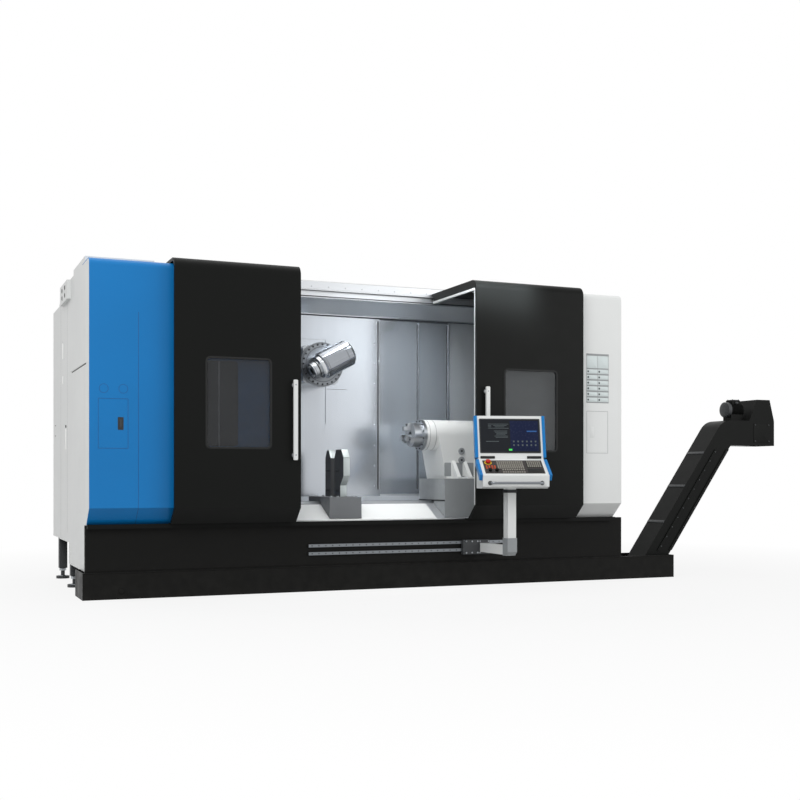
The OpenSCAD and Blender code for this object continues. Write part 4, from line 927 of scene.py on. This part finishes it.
def pendant_dress():
    """The post's swivel collar, the screws of the arm's flange and the carriage, the elbow's casting and the
    tube grip's rosettes."""
    body, (x, y) = "pendant_carrier", POST
    piece("post_collar", [placed(ring_slab(92, 92, 12, 7, 26), top(x, y, 812))], body, "dark")
    screws = [screw_at(front(x + dx, z, 98), 11, 5) for dx in (-41, 41) for z in (284, 384)]
    screws += [screw_at(front(x - 170 + k * 55, z, 105), 14, 7) for z in (384, 285) for k in range(3)]
    piece("carriage_screws", screws, body, "ground")
    shell = np.array([(-44, -12), (-12, -44), (43, -44), (43, 104), (-44, 104)], float)
    sides = [np.column_stack([np.full(len(shell), s * 44.5), shell]) for s in (-1, 1)]
    piece("elbow_casting", [placed(loft(sides), top(x, y, ELBOW_Z))], body, "cast")
    grip = turned((1, 0, 0)), (0, 0, 1), turned((0, -1, 0))
    rosettes = [placed(flat_ring(11.3, 18, 5), Place(panel_point(px, -263, 895), *grip))
                for px in (-215, 215)]
    piece("grip_rosettes", rosettes, "panel_body", "dark")


def rail_dress():
    """Flush countersunk screws along both pendant rails."""
    head = [(5.5, 0), (5.5, 0.1), (4.4, 0.18), (2.4, 0.18), (2.2, 0.1), (0.2, 0.1)]
    made = [lathe_at(front(x, z, 130), head, 16) for z in (376, 311) for x in np.arange(1810, 3590, 60)]
    piece("rail_screws", made, "machine", "dark")


# Chip conveyor, feet and tray


def incline_x(z, over):
    """Where the conveyor's slope stands at a height: its lower edge, less a distance square to it."""
    x0, z0 = INCLINE_FOOT
    return x0 + (z - z0) / math.tan(SLOPE) - over / math.sin(SLOPE)


def conveyor_dress():
    """The conveyor's side screws along its slope, cover straps, motor fins and cowl, terminal box lid with
    its gland, and the head box's side doors with their screws."""
    sides = ((front, CONVEYOR_FRONT), (back, CONVEYOR_BACK))
    screws = [screw_at(face(incline_x(z, over), z, y), 13, 5)
              for face, y in sides for z in np.arange(290, 1200, 90) for over in (13, 122)]
    piece("conveyor_screws", screws, "machine", "graphite")
    along, out = (math.cos(SLOPE), 0, math.sin(SLOPE)), (-math.sin(SLOPE), 0, math.cos(SLOPE))
    straps = [plate_at(Place((incline_x(z, 218), CONVEYOR_Y, z), (0, 1, 0), along, out), 262, 26, 5, 3, 2)
              for z in (520, 860, 1180)]
    piece("conveyor_cover_straps", straps, "machine", "graphite")
    motor = right(*MOTOR)
    fins = [placed(ring([(69, z), (77, z), (77, z + 3), (69, z + 3)]), motor) for z in range(52, 180, 11)]
    piece("motor_fins", fins, "machine", "black")
    cowl = [(70, 0), (75, 2), (75, 40), (71, 44), (69, 44), (69, -2), (60, -6), (20, -7), (0.2, -7)]
    piece("motor_cowl", [lathe_at(motor, cowl, 40)], "machine", "graphite")
    gland = [(13, 0), (13, 9), (9, 11), (9, 22), (6, 24), (0.2, 24)]
    lid = [plate_at(top(TERMINALS_X, CONVEYOR_Y, 1704), 90, 90, 6, 8, 2.5),
           lathe_at(front(TERMINALS_X, 1678, 287), gland, 12)]
    lid += [screw_at(top(TERMINALS_X + dx, CONVEYOR_Y + dy, 1710), 9, 4)
            for dx in (-36, 36) for dy in (-36, 36)]
    piece("motor_box_lid", lid, "machine", "graphite")
    x, z = HEAD_BOX
    doors = [plate_at(face(x, z, y), 200, 190, 4, 8, 2) for face, y in ((front, 200), (back, 470))]
    piece("conveyor_side_doors", doors, "machine", "black")
    knobs = [screw_at(face(x + dx, z + dz, y), 14, 6)
             for face, y in ((front, 196), (back, 474)) for dx in (-84, 84) for dz in (-80, 80)]
    piece("conveyor_door_screws", knobs, "machine", "graphite")


def foot_columns():
    """Square columns round the end panels' levelling screws, with lock nuts and washers under them."""
    nut = [(18.5, 0), (31, 0), (31, 20), (27, 24), (18.5, 24)]
    columns, nuts = [], []
    for inset, y in ((61, 1307), (76, 2256)):
        for x in (inset, CABIN_W - inset):
            columns.append(plate_at(top(x, y, 98), 74, 74, 290, 5, 3))
            nuts.append(lathe_at(top(x, y, 72), nut, 6))
            nuts.append(placed(flat_ring(18.3, 40, 5), top(x, y, 24)))
    piece("foot_columns", columns, "machine", "graphite")
    piece("foot_nuts", nuts, "machine", "ground")


def tray_dress():
    """A rolled bead along the tray's front rim, the drain plug near its left end and the skirt's folds."""
    piece("tray_bead", [placed(bar((0, 0, 0), (5430, 0, 0), 5), top(-22, 130, 205))], "machine", "base")
    plug = [(22, 0), (22, 5), (15, 7), (15, 14), (12, 16), (0.2, 16)]
    piece("tray_drain_plug", [lathe_at(front(260, 60, 130), plug, 6)], "machine", "base")
    folds = [plate_at(front(2400, z, 150), 4700, 6, 1.2, 2, 0.5) for z in (560, 222)]
    piece("skirt_folds", folds, "machine", "base")


# Stage, light and camera


def seen_rays(tree):
    """One for rays from the camera, from gloss or through glass, and nought for the rest."""
    path = tree.nodes.new("ShaderNodeLightPath").outputs
    first = combined(tree, "MAXIMUM", path["Is Camera Ray"], path["Is Glossy Ray"])
    return combined(tree, "MAXIMUM", first, path["Is Transmission Ray"])


def studio_floor():
    """A pale floor: its own shading counts near the machine, and it runs to plain white 7 m away from it."""
    side, drop = 40.0, -0.0008
    mesh = bpy.data.meshes.new("studio_floor")
    corners = [(-side, -side, drop), (side, -side, drop), (side, side, drop), (-side, side, drop)]
    mesh.from_pydata(corners, [], [(0, 1, 2, 3)])
    obj = bpy.data.objects.new("studio_floor", mesh)
    bpy.context.scene.collection.objects.link(obj)
    mat, tree, shader, coords = finish_base("studio_floor")
    shader.inputs["Base Color"].default_value = (0.55, 0.55, 0.55, 1)
    shader.inputs["Roughness"].default_value = 0.9
    glow = node(tree, "ShaderNodeEmission", [("Color", (1, 1, 1, 1)), ("Strength", 1.0)])
    away = node(tree, "ShaderNodeVectorMath", [(0, coords)], operation="LENGTH").outputs["Value"]
    share = combined(tree, "MULTIPLY", seen_rays(tree), spread(tree, away, 0.86, 1.0, 3.0, 7.0))
    inputs = [(0, share), (1, shader.outputs["BSDF"]), (2, glow.outputs["Emission"])]
    mixed = node(tree, "ShaderNodeMixShader", inputs)
    tree.links.new(mixed.outputs["Shader"], tree.nodes["Material Output"].inputs["Surface"])
    mesh.materials.append(mat)


def studio_world(diffuse):
    """White surroundings to the eye and to gloss, and an even soft light of lower strength on the rest."""
    world = bpy.data.worlds.new("studio")
    bpy.context.scene.world = world
    world.use_nodes = True
    tree = world.node_tree
    backdrop = tree.nodes["Background"]
    backdrop.inputs["Color"].default_value = (1, 1, 1, 1)
    tree.links.new(spread(tree, seen_rays(tree), diffuse, 1.0, 0.0, 1.0), backdrop.inputs["Strength"])


def softbox(name, place, aim, size, power, tone=(1, 1, 1), beam=180):
    """A rectangular soft light of one tone at a machine place, turned to look at another, with its beam's
    angle in degrees."""
    lamp = bpy.data.lights.new(name, "AREA")
    lamp.shape = "RECTANGLE"
    lamp.size, lamp.size_y = size
    lamp.energy = power
    lamp.color = tone
    lamp.spread = math.radians(beam)
    obj = bpy.data.objects.new(name, lamp)
    obj.location = at(*place)
    obj.rotation_euler = (at(*aim) - at(*place)).to_track_quat("-Z", "Y").to_euler()
    bpy.context.scene.collection.objects.link(obj)


def studio_camera():
    """The photograph's viewpoint, level, with the frame shifted up instead of tilted."""
    data = bpy.data.cameras.new("viewpoint")
    data.lens, data.sensor_width, data.shift_y = CAMERA_LENS, SENSOR, CAMERA_SHIFT_UP
    data.clip_end = 200
    obj = bpy.data.objects.new("viewpoint", data)
    obj.location = at(*CAMERA_AT)
    obj.rotation_euler = (math.radians(90), 0, math.radians(-CAMERA_YAW))
    bpy.context.scene.collection.objects.link(obj)
    bpy.context.scene.camera = obj


dress_nodes()
cover_joints()
turn_latch()
latch_cap()
bare_plates()
end_panel_fittings("left_end", -1)
end_panel_fittings("right_end", 1)
roof_box_entries()
rear_cabinet()
door_dress("left_door", LEFT_DOOR, -1)
door_dress("right_door", RIGHT_DOOR, 1)
port_shade_pane()
door_lining("left_door", LEFT_DOOR)
door_lining("right_door", RIGHT_DOOR)
header_dress()
wall_dress()
swivel_bolts()
tool_spindle_dress()
chuck_screws("chuck_screws", "main_spindle_body", 1200, 1, [(150, 3, 60, 0), (150, 3, 0, 30)], 22)
chuck_screws("tail_chuck_screws", "tail_spindle_body", 2760, -1, [(88, 3, 0, 33.5), (124, 12, 15, 146)], 13)
tailstock_dress()
steady_dress()
panel_keys()
screen_fields()
pendant_dress()
rail_dress()
conveyor_dress()
foot_columns()
tray_dress()

studio_floor()
studio_world(0.53)
softbox("key_light", (-3200, -6500, 6200), (2000, 300, 1200), (5, 5), 350)
softbox("fill_light", (8200, -6000, 3600), (2800, 300, 1200), (5, 5), 150)
softbox("top_light", (2300, 600, 7200), (2300, 600, 0), (7, 5), 130)
softbox("opening_light", (2300, 0, 3400), (2600, 650, 900), (0.8, 0.5), 5, beam=50)
softbox("cabin_light", (3000, -300, 2750), (3200, 1050, 1780), (1.5, 0.3), 10, (0.87, 0.94, 1.0), 54)
studio_camera()
bpy.context.scene.view_settings.view_transform = "Standard"
